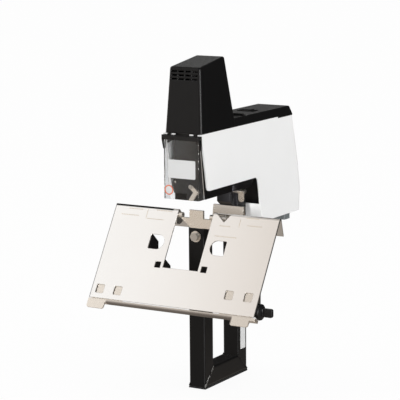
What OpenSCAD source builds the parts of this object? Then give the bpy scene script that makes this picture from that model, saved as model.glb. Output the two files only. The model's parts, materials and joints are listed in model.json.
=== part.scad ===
// Electric saddle stapler. A welded tube stand carries an anvil and a two-sided
// saddle table in front, and a solenoid head with its magazine above them.
// Millimetres, +Z up, the operator stands at -Y. The origin lies on the floor,
// midway between the two bench bolts.

/* [Stand] */
// Side of the square tube
tube = 30; // [28:1:34]
// Wall of the square tube
tube_wall = 2; // [1.5:0.25:3]
// Outer corner radius of the tube
tube_r = 3.5; // [2.5:0.5:5]
// Length of the foot over both posts
base_len = 143; // [136:1:160]
// Thickness of the rubber pad under the foot
pad_h = 3; // [2:0.5:6]
// How far the pad flares beyond the tube on each side
pad_flare = 1; // [0.5:0.25:2]
// Distance between the two bench bolts
bolt_pitch = 62; // [50:1:64]
// Bench bolt hole diameter
bolt_hole = 9; // [6:0.5:11]
// How far the front post ends below the ridge
post_drop = 30; // [28:1:40]

/* [Anvil] */
// Thickness of the anvil plate
anvil_t = 4; // [3:0.5:6]
// Width of the anvil tab
tab_w = 26; // [20:1:30]
// Gap from the ridge down to the anvil face
tab_drop = 0.6; // [0.2:0.1:2]
// Width over the anvil shoulders
shoulder_w = 56; // [50:1:60]
// Drop from the ridge to the shoulders
shoulder_drop = 14; // [12:0.5:18]
// Length of the stem inside the post
stem_len = 40; // [30:1:60]
// Clamp bolt shank diameter
anvil_bolt_d = 8; // [8:1:10]
// Clamp bolt washer diameter
washer_d = 18; // [18:1:24]
// Drop from the ridge to the clamp bolt
bolt_drop = 43.5; // [42:0.5:50]

/* [Saddle table] */
// Width of the table
table_w = 310; // [290:1:340]
// Height of the ridge above the floor
ridge_z = 300; // [280:1:320]
// Sheet thickness
sheet = 1.5; // [1:0.25:2]
// Angle of the front slope below the horizontal
front_angle = 58.3; // [54:0.1:62]
// Length of the front slope
front_len = 169; // [160:1:190]
// Angle of the rear flap below the horizontal
rear_angle = 48.9; // [45:0.1:54]
// Length of the rear flap
rear_len = 47; // [40:1:52]
// Inside radius of the bend at the ridge
bend_r = 1; // [0.5:0.25:2]
// How far each outer end of the flap is drawn in
flap_taper = 11; // [4:1:16]
// Width of the notch round the anvil
notch_w = 66; // [64:1:74]
// Length of the notch down the slope
notch_len = 104.5; // [90:0.5:110]
// Drop from the ridge to the tilt pivot
pivot_drop = 10.5; // [10:0.5:11]
// Diameter of the tilt pivot
pivot_d = 6; // [5:0.5:6]
// Size of the small square holes beside the notch
square_hole = 10.7; // [8:0.1:13]
// Size of the windows near the lower edge
window = 15; // [10:0.5:18]

/* [Paper stop] */
// Gap from the table's lower edge to the stop face
stop_gap = 2.5; // [2:0.5:10]
// Height of the stop lip above the slope
lip_h = 3.5; // [2:0.5:6]
// Length of the tabs below the lip
tab_len = 11; // [6:0.5:16]
// Width of the tabs
stop_tab_w = 33; // [24:1:40]
// Diameter of the stop knob's skirt
knob_d = 26; // [20:1:26]
// Length of the stop knob's wing
knob_grip = 20; // [14:1:26]

/* [Covers] */
// Width over the white side covers
cover_w = 68.6; // [68:0.2:76]
// Wall of the covers
wall = 2.5; // [2:0.25:2.5]
// Height of the joint between white and black covers
joint_z = 430.5; // [430:0.5:436]
// Height of the lower edge of the arm covers
arm_low_z = 336.5; // [334:0.5:340]
// Height of the bottom of the rear column
column_low_z = 257; // [252:0.5:262]
// Height of the black lid above the joint
lid_h = 14; // [12:0.5:18]
// Height of the tower's front edge above the joint
tower_h = 106.5; // [105:0.5:125]
// Rise of the tower's top from front to back
tower_rise = 11; // [4:0.5:16]
// Rows of vent slots
vent_rows = 3; // [1:1:5]
// Slots in each vent row
vent_cols = 4; // [2:1:5]

/* [Guard] */
// Width of the clear guard
guard_w = 65.4; // [64.6:0.2:67]
// Wall of the clear guard
guard_t = 2; // [1.5:0.25:2.5]
// Height of the guard's lower edge
guard_low_z = 326; // [324:0.5:334]
// Hinge pin diameter
guard_pin_d = 3; // [2:0.5:4]

/* [Stapling head] */
// Stroke of the driver
driver_stroke = 27; // [20:1:27]
// Width of a staple
staple_w = 12.9; // [10:0.1:13]
// Height of a staple
staple_h = 8; // [6:0.5:8]
// Length of the staple strip
strip_len = 44; // [20:1:46]
// Diameter of the guide rods
rod_d = 8; // [6:0.5:9]
// Plunger diameter
plunger_d = 20; // [16:1:24]
// Coil outer diameter
coil_d = 46; // [40:1:48]
// Wire diameter of the return spring
spring_wire = 1.4; // [1:0.1:1.6]

/* [Hidden] */
$fn = 48;

black = "#1c1c1e";
white = "#e8e8e5";
nickel = "#c9c6be";
steel = "#9a9690";
clearance = 0.3;
running = 0.05;

// Stand, measured along Y from the middle of the foot
front_y = -base_len / 2;
rear_y = base_len / 2 - tube;
line_y = front_y + tube_wall + anvil_t / 2;
post_top = ridge_z - post_drop;
bore_r = max(tube_r - tube_wall, 0.5);

// Anvil and its fasteners
shoulder_edge = 2;
crimp_half = 0.7;
crimp_depth = 0.8;
washer_t = 2;
bolt_end = 5;
hex_width = 1.6;
hex_height = 0.64;

// Table, with the ridge as the local origin
table_half = table_w / 2;
notch_half = notch_w / 2;
pivot_z = ridge_z - pivot_drop;
shoulder_z = ridge_z - shoulder_drop;
ear_t = 2;
ear_r = 16;
lug_out = notch_half - clearance;
lug_in = shoulder_w / 2 - 2;
pin_head = 1;
pin_head_t = 2;
lug_d = 9;
screw_neck = 15;
screw_head_d = 10;
screw_head_h = 7;
vee_s = 17;
vee_near = notch_half + 2.5;
vee_tip = notch_half + 23;
vee_far = notch_half + 34;
relief_x = notch_half + 14.5;
relief_d = 3;
d_hole_s = 61.8;
d_hole_r = 12.75;
d_hole_round = 56.3;
d_hole_flat = 71.3;
square_x = 43.5;
square_s = 100.5;
window_r = 2;
left_window_in = [16.6, 50.8];
left_window_up = 16.2;
right_window_in = [54, 19];
right_window_up = 31;
edge_step = 0.3;
taper_start = 4;
cut_depth = 5;

// Stop gear, s down the slope and d below its face
stop_reach = front_len + stop_gap;
knob_s = front_len - 13;
knob_depth = 10.9;
flange_t = 2;
flange_s = front_len - 42;
flange_end = front_len - 2;
flange_depth = 21;
flange_bend = [24, 15];
flange_foot = 30;
runner_in = 12.5;
runner_out = table_half - runner_in;
runner_w = 6;
runner_top = sheet + clearance;
runner_depth = 13;
runner_s = front_len - 109;
scale_in = table_half - 64;
scale_out = table_half - flange_t - clearance - 1.7;
scale_s = front_len - 47;
scale_t = 1;
guide_s = front_len - 69;
guide_len = 18;
guide_wall = 2;
lip_t = 5;
lip_over = 5;
lip_below = 6;
stop_inset = 2;
stop_tab_in = 5;
stop_tab_t = 2;
stop_tab_r = 4;
stop_screw_d = 6;
skirt_t = 4.5;
skirt_edge = [3, 2];
knob_boss = 3;
grip_t = 6;
grip_h = 14;
grip_taper = 4;

// Table bracket on the front post
bracket_t = 3;
bracket_half = 52;
bracket_top = 194;
bracket_low = 150;
bracket_s0 = 77.5;
bracket_s1 = 118;
cheek_top = 203;
bracket_arm_half = 76;
bracket_arm_s = 46;
bracket_arm_back = [51, 29];
bracket_screw_d = 6;
bracket_screw_end = 4;
pan_width = 1.7;
pan_h = 4;

// Trigger unit on the rear post
plate_half = 29.5;
plate_t = 2;
plate_top = 291;
plate_low = 266;
plate_lean = 4;
plate_gap = 3;
housing_x = [-17, 8];
housing_d = 14;
housing_top = arm_low_z - 16.5;
housing_slant = 8;
trigger_pin_d = 4;
trigger_pin_z = arm_low_z - 19;
pin_grip = 12;
pin_collar = 3;
trigger_x = [20.5, 31.5];
trigger_t = 2;
trigger_low = arm_low_z - 37;
lever_boss = 4;

// Arm chassis, measured along Y from the staple line
chassis_half = 28;
chassis_t = 2.5;
chassis_low = arm_low_z - 14.5;
chassis_top = joint_z - 2.5;
chassis_front = -21;
chassis_rear = 258;
throat_end = 131;
throat_slope = 15;
floor_z = arm_low_z + 2;
column_lean = 4;
post_room = 30;
column_front = 168;
column_rear = 282;
column_inner_low = column_low_z + 9;
mouth_end = 107;
hinge_l = -47;
hinge_z = chassis_top - 4;
hinge_r = 3;
frame_l = [-43.8, -42.3];
frame_h = 5;
side_h = 14;
post_stub = arm_low_z + 8.5;

// Stapling head
head_plate_t = 6;
head_plate_len = 36;
nose_half = 24.5;
nose_front = -30;
nose_back = 10;
nose_low = chassis_low + 12;
nose_gap = 6;
nose_plate = [3, 12];
tip_half = 14;
tip_low = chassis_low;
tip_len = 8;
rod_spread = 18;
rod_end = 2;
blade_w = staple_w + 0.1;
blade_t = 0.9;
blade_gap = 0.2;
head_ratio = 2 / 3;
mag_half = 9;
mag_wall = 2;
mag_top = tip_low + 22;
mag_front = 1;
mag_rear = 90;
rail_half = staple_w / 2 - 0.9;
wire = 0.6;
rail_top = tip_low + 7.6;
strip_top = rail_top + clearance + wire;
pusher_len = 12;
pusher_front = mag_front + strip_len + clearance;
pusher_rear = pusher_front + pusher_len;
pusher_spring_d = 8;
pusher_wire = 0.8;
pusher_turns = 8;
pusher_spring_z = strip_top + 0.8 + pusher_spring_d / 2;
latch_x = 9;
latch_z = tip_low + 23;
latch_elbow = [9, -7.5];
latch_tip = [-0.5, -21];
latch_w = 7;
latch_t = 3;
latch_pin_d = 4;
latch_pin_grip = 8;
latch_head = 3;
latch_head_t = 1.5;
blade_rest = 2;
carrier_half = 12;
carrier_l = 8;
carrier_h = 12;
carrier_gap = 2;
carrier_low = chassis_top - head_plate_t - carrier_gap - carrier_h;
nose_top = carrier_low - nose_gap;
pocket = driver_stroke * (1 - head_ratio) + 4;
yoke_t = 6;
yoke_low = chassis_top;
coil_low = yoke_low + yoke_t;
coil_h = 48;
yoke_half = 16;
yoke_top = coil_low + coil_h;
strap_t = 4;
rod_push_d = 8;
plunger_low = coil_low + driver_stroke + 6;
cap_d = 32;
cap_t = 3;
spring_d = 26;
spring_turns = 7;
spring_low = yoke_top + yoke_t;
spring_len = 45;
plunger_top = spring_low + spring_len;

// Electrics in the arm and column
arm_top_z = joint_z + lid_h;
tower_front_z = joint_z + tower_h;
board_z = arm_top_z - 68;
board_l = [150, 236];
board_t = 1.6;
relay_at = [-18, 160];
relay_size = [18, 30, 16];
sink_at = [6, 158];
sink_size = [14, 24, 12];
can_at = [-10, 200];
can_pitch = 16;
can_d = 13;
can_h = 24;
core_side = 3;
core_l = [190, 242];
core_h = 44;
winding_side = 10;
winding_over = 6;
winding_h = 36;

// Covers
cover_half = cover_w / 2;
cover_front_top = -41.8;
cover_front_low = -23.4;
cover_low_r = 8;
throat_r = 10;
corner_steps = 12;
slice = 0.01;
beyond = 30;
column_edge = [[144.4, arm_low_z], [153, arm_low_z - 48], [160, arm_low_z - 74]];
ledge_z = arm_low_z - 48;
cover_rear = [272, 303, 312, 307];
cover_rear_z = [joint_z, 345, 296, column_low_z];
cover_rear_r = [8, 20, 20, 18];
top_rear = 262;
lid_foot = 268.5;
skirt_l = 216;
skirt_h = 2.5;
inlet_pos = [11, 268];
inlet_size = [28, 21];
inlet_drop = 13;
inlet_r = 3;
inlet_wall = 3;
neck_in = 5;
neck_gap = 1;
neck_up = 4;
socket_pos = [-15, 268];
socket_d = 18;
socket_lip = 3;
jack_d = 8;
jack_depth = 7;
cover_screw_x = 26;
cover_screw_l = [190, 240];
cover_screw_d = 7;
cover_shank = 4;
cover_head_h = 2;

// Black top cover
tower_base_front = -41;
tower_base_rear = 71;
tower_top_front = -34.7;
tower_top_rear = 48.5;
tower_top_half = [28.8, 27];
tower_r = 4;
tower_fn = 32;
arm_top_half = 31.5;
arm_edge_r = 3;
arm_edge_out = 0.4;
vent_span = 49;
vent_pitch = 6.2;
vent_h = 3;
vent_bar = 2.2;
vent_drop = 9;
vent_reach = 16;
rocker_pos = [2, 167];
rocker_size = [20, 12];
trunnion_d = 3;
trunnion_drop = 4;
frame_lip = 1.2;
frame_depth = 12;
frame_body = [6, 4];
frame_edge = [10, 8];
frame_play = [3, 1];
trunnion_end = 1.2;
rocker_foot = [4, 8];
rocker_ends = [[-1, 1], [1.4, 3]];
rocker_dip = 0.6;
dial_pos = [15, 106];
dial_d = 32;
dial_h = 6;
dial_sink = 3;
dial_rim = 2;
grip_rim = 6;
dial_grip = 5;
spindle_d = 8;
spindle_len = 8;

// Guard
guard_half = guard_w / 2;
guard_front = -48.6;
guard_back = -31;
guard_neck = -43.2;
guard_dip = 2;
carrier_front = -50;
carrier_back = -44.5;
carrier_z0 = hinge_z - 3.5;
ear_x = [guard_half + clearance, guard_half + 2.7];
ear_front = -50;
ear_low = hinge_z - 19;
ear_tip = 3;

// Helpers
module at_line() { translate([0, line_y, 0]) children(); }
module on_slope() { translate([0, line_y, ridge_z]) rotate([front_angle, 0, 0]) children(); }
module on_flap() { translate([0, line_y, ridge_z]) rotate([-rear_angle, 0, 0]) children(); }
module yz_plate(points, x0, x1) {
    translate([x0, 0, 0]) rotate([90, 0, 90]) linear_extrude(x1 - x0) polygon(points);
}
module xz_plate(points, y0, y1) {
    translate([0, y1, 0]) rotate([90, 0, 0]) linear_extrude(y1 - y0) polygon(points);
}
module box(x, y, z) {
    translate([x[0], y[0], z[0]]) cube([x[1] - x[0], y[1] - y[0], z[1] - z[0]]);
}
module rod_x(d, x0, x1, y, z) {
    translate([x0, y, z]) rotate([0, 90, 0]) cylinder(d = d, h = x1 - x0);
}
module rod_y(d, y0, y1, x, z) {
    translate([x, y1, z]) rotate([90, 0, 0]) cylinder(d = d, h = y1 - y0);
}
module both() {
    children();
    mirror([1, 0, 0]) children();
}
module round_rect(w, d, r) {
    square([w - 2 * r, d], center = true);
    square([w, d - 2 * r], center = true);
    for (x = [-1, 1], y = [-1, 1]) translate([x * (w / 2 - r), y * (d / 2 - r)]) circle(r);
}
module tube_section() {
    difference() {
        round_rect(tube, tube, tube_r);
        round_rect(tube - 2 * tube_wall, tube - 2 * tube_wall, bore_r);
    }
}

// Spring wound from one tube of six sides, eight rings to a turn
function spring_ring(a, rise, r, w) = [for (k = [0:5])
    let (u = 60 * k, q = r + w / 2 * cos(u)) [q * cos(a), q * sin(a), rise + w / 2 * sin(u)]];
module spring(d, w, turns, length) {
    rings = turns * 8;
    r = (d - w) / 2;
    pitch = (length - w) / turns;
    points = [for (i = [0:rings]) each spring_ring(45 * i, w / 2 + pitch * i / 8, r, w)];
    sides = [for (i = [0:rings - 1], k = [0:5])
        let (a = 6 * i + k, b = 6 * i + (k + 1) % 6) each [[a, b, b + 6], [a, b + 6, a + 6]]];
    caps = [for (k = [1:4]) each [[0, k + 1, k], [6 * rings, 6 * rings + k, 6 * rings + k + 1]]];
    echo(spring_least_gap = pitch - w);
    polyhedron(points, concat(sides, caps));
}

// Welded stand
module foot_pad() {
    color("#2a2a2a") difference() {
        xz_plate([[-tube / 2, pad_h], [tube / 2, pad_h], [tube / 2 + pad_flare, 0],
            [-tube / 2 - pad_flare, 0]], front_y, -front_y);
        for (y = [-1, 1]) translate([0, y * bolt_pitch / 2, -1]) cylinder(d = bolt_hole, h = pad_h + 2);
    }
}
module base_bar() {
    color(black) difference() {
        intersection() {
            translate([0, -front_y, pad_h + tube / 2]) rotate([90, 0, 0]) linear_extrude(base_len)
                tube_section();
            yz_plate([[front_y, pad_h], [-front_y, pad_h], [-front_y - tube, pad_h + tube],
                [front_y + tube, pad_h + tube]], -tube, tube);
        }
        for (y = [-1, 1]) translate([0, y * bolt_pitch / 2, 0])
            cylinder(d = bolt_hole, h = pad_h + tube + 1);
    }
}
module front_post() {
    color(black) difference() {
        intersection() {
            translate([0, front_y + tube / 2, 0]) linear_extrude(post_top) tube_section();
            yz_plate([[front_y, pad_h], [front_y + tube, pad_h + tube], [front_y + tube, post_top],
                [front_y, post_top]], -tube, tube);
        }
        rod_y(anvil_bolt_d + 2 * running, front_y - 1, front_y + tube_wall + 1, 0, ridge_z - bolt_drop);
        for (x = [-1, 1])
            rod_y(bracket_screw_d + 2 * running, front_y - 1, front_y + tube_wall + 1, x * tube / 4,
                bracket_screw_z());
    }
}
module rear_post() {
    color(black) intersection() {
        translate([0, rear_y + tube / 2, 0]) linear_extrude(post_stub) tube_section();
        yz_plate([[-front_y, pad_h], [-front_y, post_stub], [rear_y, post_stub], [rear_y, pad_h + tube]],
            -tube, tube);
    }
}

// Anvil and the table's tilt pivot
module anvil_plate() {
    stem = tube / 2 - tube_wall - bore_r;
    color(nickel) at_line() difference() {
        xz_plate([[-tab_w / 2, ridge_z - tab_drop], [tab_w / 2, ridge_z - tab_drop],
            [tab_w / 2, shoulder_z], [shoulder_w / 2, shoulder_z],
            [shoulder_w / 2, post_top + clearance], [stem, post_top + clearance],
            [stem, post_top - stem_len], [-stem, post_top - stem_len], [-stem, post_top],
            [-shoulder_w / 2, shoulder_z - shoulder_edge], [-shoulder_w / 2, shoulder_z],
            [-tab_w / 2, shoulder_z]], -anvil_t / 2, anvil_t / 2);
        for (x = [-1, 1]) translate([x * staple_w / 4, 0, ridge_z - tab_drop])
            box([-staple_w / 5, staple_w / 5], [-crimp_half, crimp_half], [-crimp_depth, 1]);
        rod_y(anvil_bolt_d, -anvil_t, anvil_t, 0, ridge_z - bolt_drop);
    }
}
module anvil_washer() {
    color(steel) difference() {
        rod_y(washer_d, front_y - washer_t, front_y, 0, ridge_z - bolt_drop);
        rod_y(anvil_bolt_d + clearance, front_y - washer_t - 1, front_y + 1, 0, ridge_z - bolt_drop);
    }
}
module anvil_bolt() {
    color(steel) {
        rod_y(anvil_bolt_d, front_y - washer_t, line_y + anvil_t / 2 + bolt_end, 0, ridge_z - bolt_drop);
        translate([0, front_y - washer_t, ridge_z - bolt_drop]) rotate([90, 0, 0])
            cylinder(d = anvil_bolt_d * hex_width / cos(30), h = anvil_bolt_d * hex_height, $fn = 6);
    }
}
module pivot_lugs() {
    color(nickel) at_line() both() difference() {
        union() {
            box([lug_in, lug_out], [-anvil_t / 2, anvil_t / 2], [shoulder_z, pivot_z]);
            difference() {
                rod_x(lug_d, lug_in, lug_out, 0, pivot_z);
                box([lug_in - 1, lug_out + 1], [-lug_d, lug_d], [pivot_z - lug_d, shoulder_z]);
            }
        }
        rod_x(pivot_d, lug_in - 1, lug_out + 1, 0, pivot_z);
    }
}
module pivot_pin() {
    ear_end = notch_half + ear_t + clearance;
    color(steel) at_line() {
        rod_x(pivot_d, -ear_end, -lug_in, 0, pivot_z);
        rod_x(pivot_d + pin_head, -ear_end - pin_head_t, -ear_end, 0, pivot_z);
    }
}
module tilt_screw() {
    ear_end = notch_half + ear_t + clearance;
    color(steel) at_line() {
        rod_x(pivot_d, lug_in, ear_end, 0, pivot_z);
        rod_x(pivot_d + pin_head, ear_end, ear_end + screw_neck, 0, pivot_z);
        rod_x(screw_head_d, ear_end + screw_neck, ear_end + screw_neck + screw_head_h, 0, pivot_z);
    }
}

// Bracket that the table rests on: two low cheeks and two longer arms on one back plate
function bracket_screw_z() = (bracket_top + bracket_low) / 2;
module table_bracket() {
    rest = sheet + clearance;
    foot = [[front_y, bracket_low], slope_pair(bracket_s1, rest) + [line_y, 0]];
    cheek = concat(foot, [slope_pair(bracket_s0, rest) + [line_y, 0], [front_y, cheek_top]]);
    arm = concat(foot, [slope_pair(bracket_arm_s, rest) + [line_y, 0],
        slope_pair(bracket_arm_back[0], bracket_arm_back[1]) + [line_y, 0], [front_y, bracket_top]]);
    color(black) difference() {
        union() {
            both() yz_plate(cheek, bracket_half - bracket_t, bracket_half);
            both() yz_plate(arm, bracket_arm_half - bracket_t, bracket_arm_half);
            box([-bracket_arm_half, bracket_arm_half], [front_y - bracket_t, front_y],
                [bracket_low, bracket_top]);
        }
        for (x = [-1, 1])
            rod_y(bracket_screw_d + 2 * running, front_y - bracket_t - 1, front_y + 1, x * tube / 4,
                bracket_screw_z());
    }
}
module bracket_screws() {
    color(steel) for (x = [-1, 1]) {
        rod_y(bracket_screw_d, front_y - bracket_t, front_y + tube_wall + bracket_screw_end, x * tube / 4,
            bracket_screw_z());
        rod_y(bracket_screw_d * pan_width, front_y - bracket_t - pan_h, front_y - bracket_t, x * tube / 4,
            bracket_screw_z());
    }
}

// Saddle table, folded from one sheet: points at s along a leg and d below its outer face
function ridge(d) = let (v = [cos(rear_angle) - cos(front_angle), -sin(rear_angle) - sin(front_angle)])
    [0, ridge_z] + v / norm(v) * d / sin((180 - front_angle - rear_angle) / 2);
function slope_pair(s, d) = [d * sin(front_angle) - s * cos(front_angle),
    ridge_z - s * sin(front_angle) - d * cos(front_angle)];
function flap_pair(s, d) = [s * cos(rear_angle) - d * sin(rear_angle),
    ridge_z - s * sin(rear_angle) - d * cos(rear_angle)];
function fold(d) = corner(slope_pair(front_len, d), ridge(d), flap_pair(rear_len, d), bend_r + sheet - d);
function unfold(d) = corner(flap_pair(rear_len, d), ridge(d), slope_pair(front_len, d), bend_r + sheet - d);
module saddle_table() {
    color(nickel) difference() {
        union() {
            at_line() yz_plate(concat([slope_pair(front_len, 0)], fold(0), [flap_pair(rear_len, 0),
                flap_pair(rear_len, sheet)], unfold(sheet), [slope_pair(front_len, sheet)]),
                -table_half, table_half);
            at_line() both() intersection() {
                rod_x(2 * ear_r, notch_half + edge_step, notch_half + ear_t, 0, pivot_z);
                yz_plate(concat([slope_pair(front_len, sheet / 2)], fold(sheet / 2),
                    [flap_pair(rear_len, sheet / 2)]), 0, table_half);
            }
            on_slope() both() yz_plate([[-flange_s, -sheet / 2],
                [-flange_s - flange_bend[0], -flange_bend[1]], [-flange_s - flange_foot, -flange_depth],
                [-flange_end, -flange_depth], [-flange_end, -sheet / 2]],
                table_half - flange_t, table_half - edge_step);
        }
        at_line() yz_plate([slope_pair(notch_len, -cut_depth), slope_pair(notch_len, cut_depth),
            [rear_len, ridge_z - rear_len], [rear_len, ridge_z + 1], [-front_len, ridge_z + 1]],
            -notch_half, notch_half);
        on_slope() {
            translate([0, 0, -sheet - edge_step]) linear_extrude(cut_depth) polygon([
                [vee_near, cut_depth], [vee_near, 0], [vee_tip, -vee_s], [vee_far, 0],
                [vee_far, cut_depth]]);
            translate([0, 0, -cut_depth]) linear_extrude(2 * cut_depth) table_holes();
            rod_x(stop_screw_d + 2 * running, table_half - cut_depth, table_half + 1, -knob_s, -knob_depth);
        }
        on_flap() both() translate([0, 0, -cut_depth]) linear_extrude(2 * cut_depth) flap_end();
        at_line() rod_x(pivot_d + 2 * running, -notch_half - cut_depth, notch_half + cut_depth, 0, pivot_z);
        at_line() translate([-relief_x, 0, ridge_z - 2 * cut_depth])
            cylinder(d = relief_d, h = 3 * cut_depth);
    }
}
module table_holes() {
    for (m = [0, 1]) mirror([m, 0]) d_hole();
    for (x = [-1, 1]) translate([x * square_x, -square_s]) square(square_hole, center = true);
    for (x = left_window_in) translate([x - table_half, left_window_up - front_len])
        round_rect(window, window, window_r);
    for (x = right_window_in) translate([table_half - x, right_window_up - front_len])
        round_rect(window, window, window_r);
}
module flap_end() {
    slant = flap_taper / (rear_len - taper_start);
    far = table_half + flap_taper;
    polygon([[table_half + slant * (taper_start + cut_depth), -cut_depth], [far, -cut_depth],
        [far, rear_len + cut_depth], [table_half - flap_taper - slant * cut_depth, rear_len + cut_depth]]);
}
module d_hole() {
    translate([d_hole_round, -d_hole_s]) circle(d_hole_r);
    translate([(d_hole_round + d_hole_flat) / 2 - window_r, -d_hole_s])
        round_rect(d_hole_flat - d_hole_round + 2 * window_r, 2 * d_hole_r, window_r);
}
module stop_guides() {
    color(nickel) on_slope() both() difference() {
        box([runner_out - runner_w - clearance - guide_wall, runner_out + clearance + guide_wall],
            [-guide_s - guide_len, -guide_s], [-runner_depth - clearance - guide_wall, -sheet]);
        box([runner_out - runner_w - clearance, runner_out + clearance],
            [-guide_s - guide_len - 1, -guide_s + 1], [-runner_depth - clearance, -sheet + 1]);
    }
}

// Paper stop that slides down the slope, with plates that show through the windows
module paper_stop() {
    right_end = table_half + lip_over;
    left_end = -table_half + stop_inset;
    color(nickel) on_slope() {
        box([left_end, right_end], [-stop_reach - lip_t, -stop_reach], [-sheet - lip_below, lip_h]);
        both() box([runner_out - runner_w, runner_out], [-stop_reach - lip_t, -runner_s],
            [-runner_depth, -runner_top]);
        both() box([scale_in, scale_out], [-stop_reach - lip_t, -scale_s],
            [-runner_top - scale_t, -runner_top]);
        for (x = [left_end, table_half - stop_tab_in - stop_tab_w])
            translate([x + stop_tab_w / 2, -stop_reach - lip_t - (tab_len - stop_tab_r) / 2,
                lip_h - stop_tab_t])
                linear_extrude(stop_tab_t) round_rect(stop_tab_w, tab_len + stop_tab_r, stop_tab_r);
    }
}
module stop_screw() {
    color(steel) on_slope()
        rod_x(stop_screw_d, runner_out + clearance, table_half + clearance, -knob_s, -knob_depth);
}
module stop_knob() {
    x0 = table_half + clearance;
    color(black) on_slope() translate([x0, -knob_s, -knob_depth]) rotate([0, 90, 0]) {
        rotate_extrude() polygon([[0, 0], [knob_d / 2, 0], [knob_d / 2, skirt_t - skirt_edge[1]],
            [knob_d / 2 - skirt_edge[0], skirt_t], [grip_t, skirt_t + knob_boss], [0, skirt_t + knob_boss]]);
        rotate([0, 0, front_angle]) intersection() {
            translate([-grip_h / 2, -grip_t / 2, 0]) cube([grip_h, grip_t, skirt_t + knob_grip]);
            cylinder(d1 = grip_h + grip_taper, d2 = grip_h, h = skirt_t + knob_grip);
        }
    }
}

// Trigger unit in the throat, on the rear post
module stop_bracket() {
    y1 = rear_y;
    color(nickel) difference() {
        yz_plate([[y1 - plate_gap - plate_lean - plate_t, plate_low],
            [y1 - plate_gap - plate_t, plate_top], [y1, plate_top], [y1, plate_low]],
            -plate_half, plate_half);
        yz_plate([[y1 - plate_gap - plate_lean, plate_low - 1], [y1 - plate_gap, plate_top - plate_t],
            [y1 - plate_t, plate_top - plate_t], [y1 - plate_t, plate_low - 1]],
            -plate_half - 1, plate_half + 1);
    }
}
module trigger_housing() {
    y0 = rear_y - housing_d;
    color(black) difference() {
        yz_plate([[rear_y - plate_gap, plate_top], [y0, plate_top + housing_slant], [y0, housing_top],
            [rear_y, housing_top], [rear_y, plate_top]], housing_x[0], housing_x[1]);
        rod_x(trigger_pin_d, housing_x[1] - pin_grip, housing_x[1] + 1, rear_y - housing_d / 2,
            trigger_pin_z);
    }
}
module trigger_pin() {
    y = rear_y - housing_d / 2;
    color(steel) {
        rod_x(trigger_pin_d, housing_x[1] - pin_grip, trigger_x[1] + 1, y, trigger_pin_z);
        rod_x(trigger_pin_d + pin_collar, trigger_x[1] + clearance, trigger_x[1] + 2, y, trigger_pin_z);
        rod_x(trigger_pin_d + pin_collar, housing_x[1], trigger_x[0] - clearance, y, trigger_pin_z);
    }
}
module trigger_lever() {
    y = rear_y - housing_d / 2;
    half = (trigger_x[1] - trigger_x[0]) / 2;
    mid = (trigger_x[1] + trigger_x[0]) / 2;
    color(steel) difference() {
        union() {
            rod_x(trigger_pin_d + lever_boss, trigger_x[0], trigger_x[1], y, trigger_pin_z);
            box([trigger_x[0], trigger_x[1]], [y - trigger_t / 2, y + trigger_t / 2],
                [trigger_low + half, trigger_pin_z]);
            rod_y(2 * half, y - trigger_t / 2, y + trigger_t / 2, mid, trigger_low + half);
        }
        rod_x(trigger_pin_d + 2 * running, trigger_x[0] - 1, trigger_x[1] + 1, y, trigger_pin_z);
    }
}

// Head structure
module chassis_side() {
    polygon([[chassis_front, chassis_low], [throat_end, chassis_low], [throat_end + throat_slope, floor_z],
        [column_front - column_lean, floor_z], [column_front, column_inner_low],
        [column_rear, column_inner_low], [chassis_rear, chassis_top], [chassis_front, chassis_top]]);
}
module arm_chassis() {
    inner = (chassis_half - chassis_t) * [-1, 1];
    color(black) at_line() difference() {
        union() {
            difference() {
                translate([-chassis_half, 0, 0]) rotate([90, 0, 90]) linear_extrude(2 * chassis_half)
                    chassis_side();
                box(inner, [chassis_front - 1, column_rear + 1], [floor_z, chassis_top + 1]);
                box(inner, [chassis_front - 1, throat_end], [chassis_low + chassis_t, chassis_top]);
                box(inner, [column_front + chassis_t, column_rear + 1],
                    [column_inner_low + chassis_t, chassis_top]);
            }
            both() box([chassis_half - chassis_t, chassis_half], [frame_l[0], chassis_front + 1],
                [chassis_top - side_h, chassis_top]);
            box([-ear_x[1], ear_x[1]], frame_l, [chassis_top - frame_h, chassis_top]);
            both() yz_plate([[ear_front, chassis_top], [frame_l[1], chassis_top], [frame_l[1], ear_low],
                [frame_l[1] - ear_tip, ear_low], [ear_front, hinge_z - hinge_r]], ear_x[0], ear_x[1]);
        }
        box(inner, [chassis_front - 1, mouth_end], [chassis_low - 1, chassis_low + chassis_t + 1]);
        translate([-tube / 2, rear_y - line_y, chassis_low - 1]) cube([tube, tube, chassis_t + post_room]);
        rod_x(guard_pin_d, -ear_x[1] - 1, ear_x[1] + 1, hinge_l, hinge_z);
    }
}
module head_plate() {
    half = chassis_half - chassis_t;
    color(steel) at_line() difference() {
        box([-half, half], [chassis_front, head_plate_len], [chassis_top - head_plate_t, chassis_top]);
        for (x = [-1, 1]) translate([x * rod_spread, 0, chassis_top - head_plate_t - 1])
            cylinder(d = rod_d, h = head_plate_t + 2);
        translate([0, 0, chassis_top - head_plate_t - 1])
            cylinder(d = rod_push_d + 1, h = head_plate_t + 2);
    }
}
module guide_rods() {
    color(steel) at_line() for (x = [-1, 1])
        translate([x * rod_spread, 0, nose_low + rod_end])
            cylinder(d = rod_d, h = chassis_top - nose_low - rod_end);
}
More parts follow.
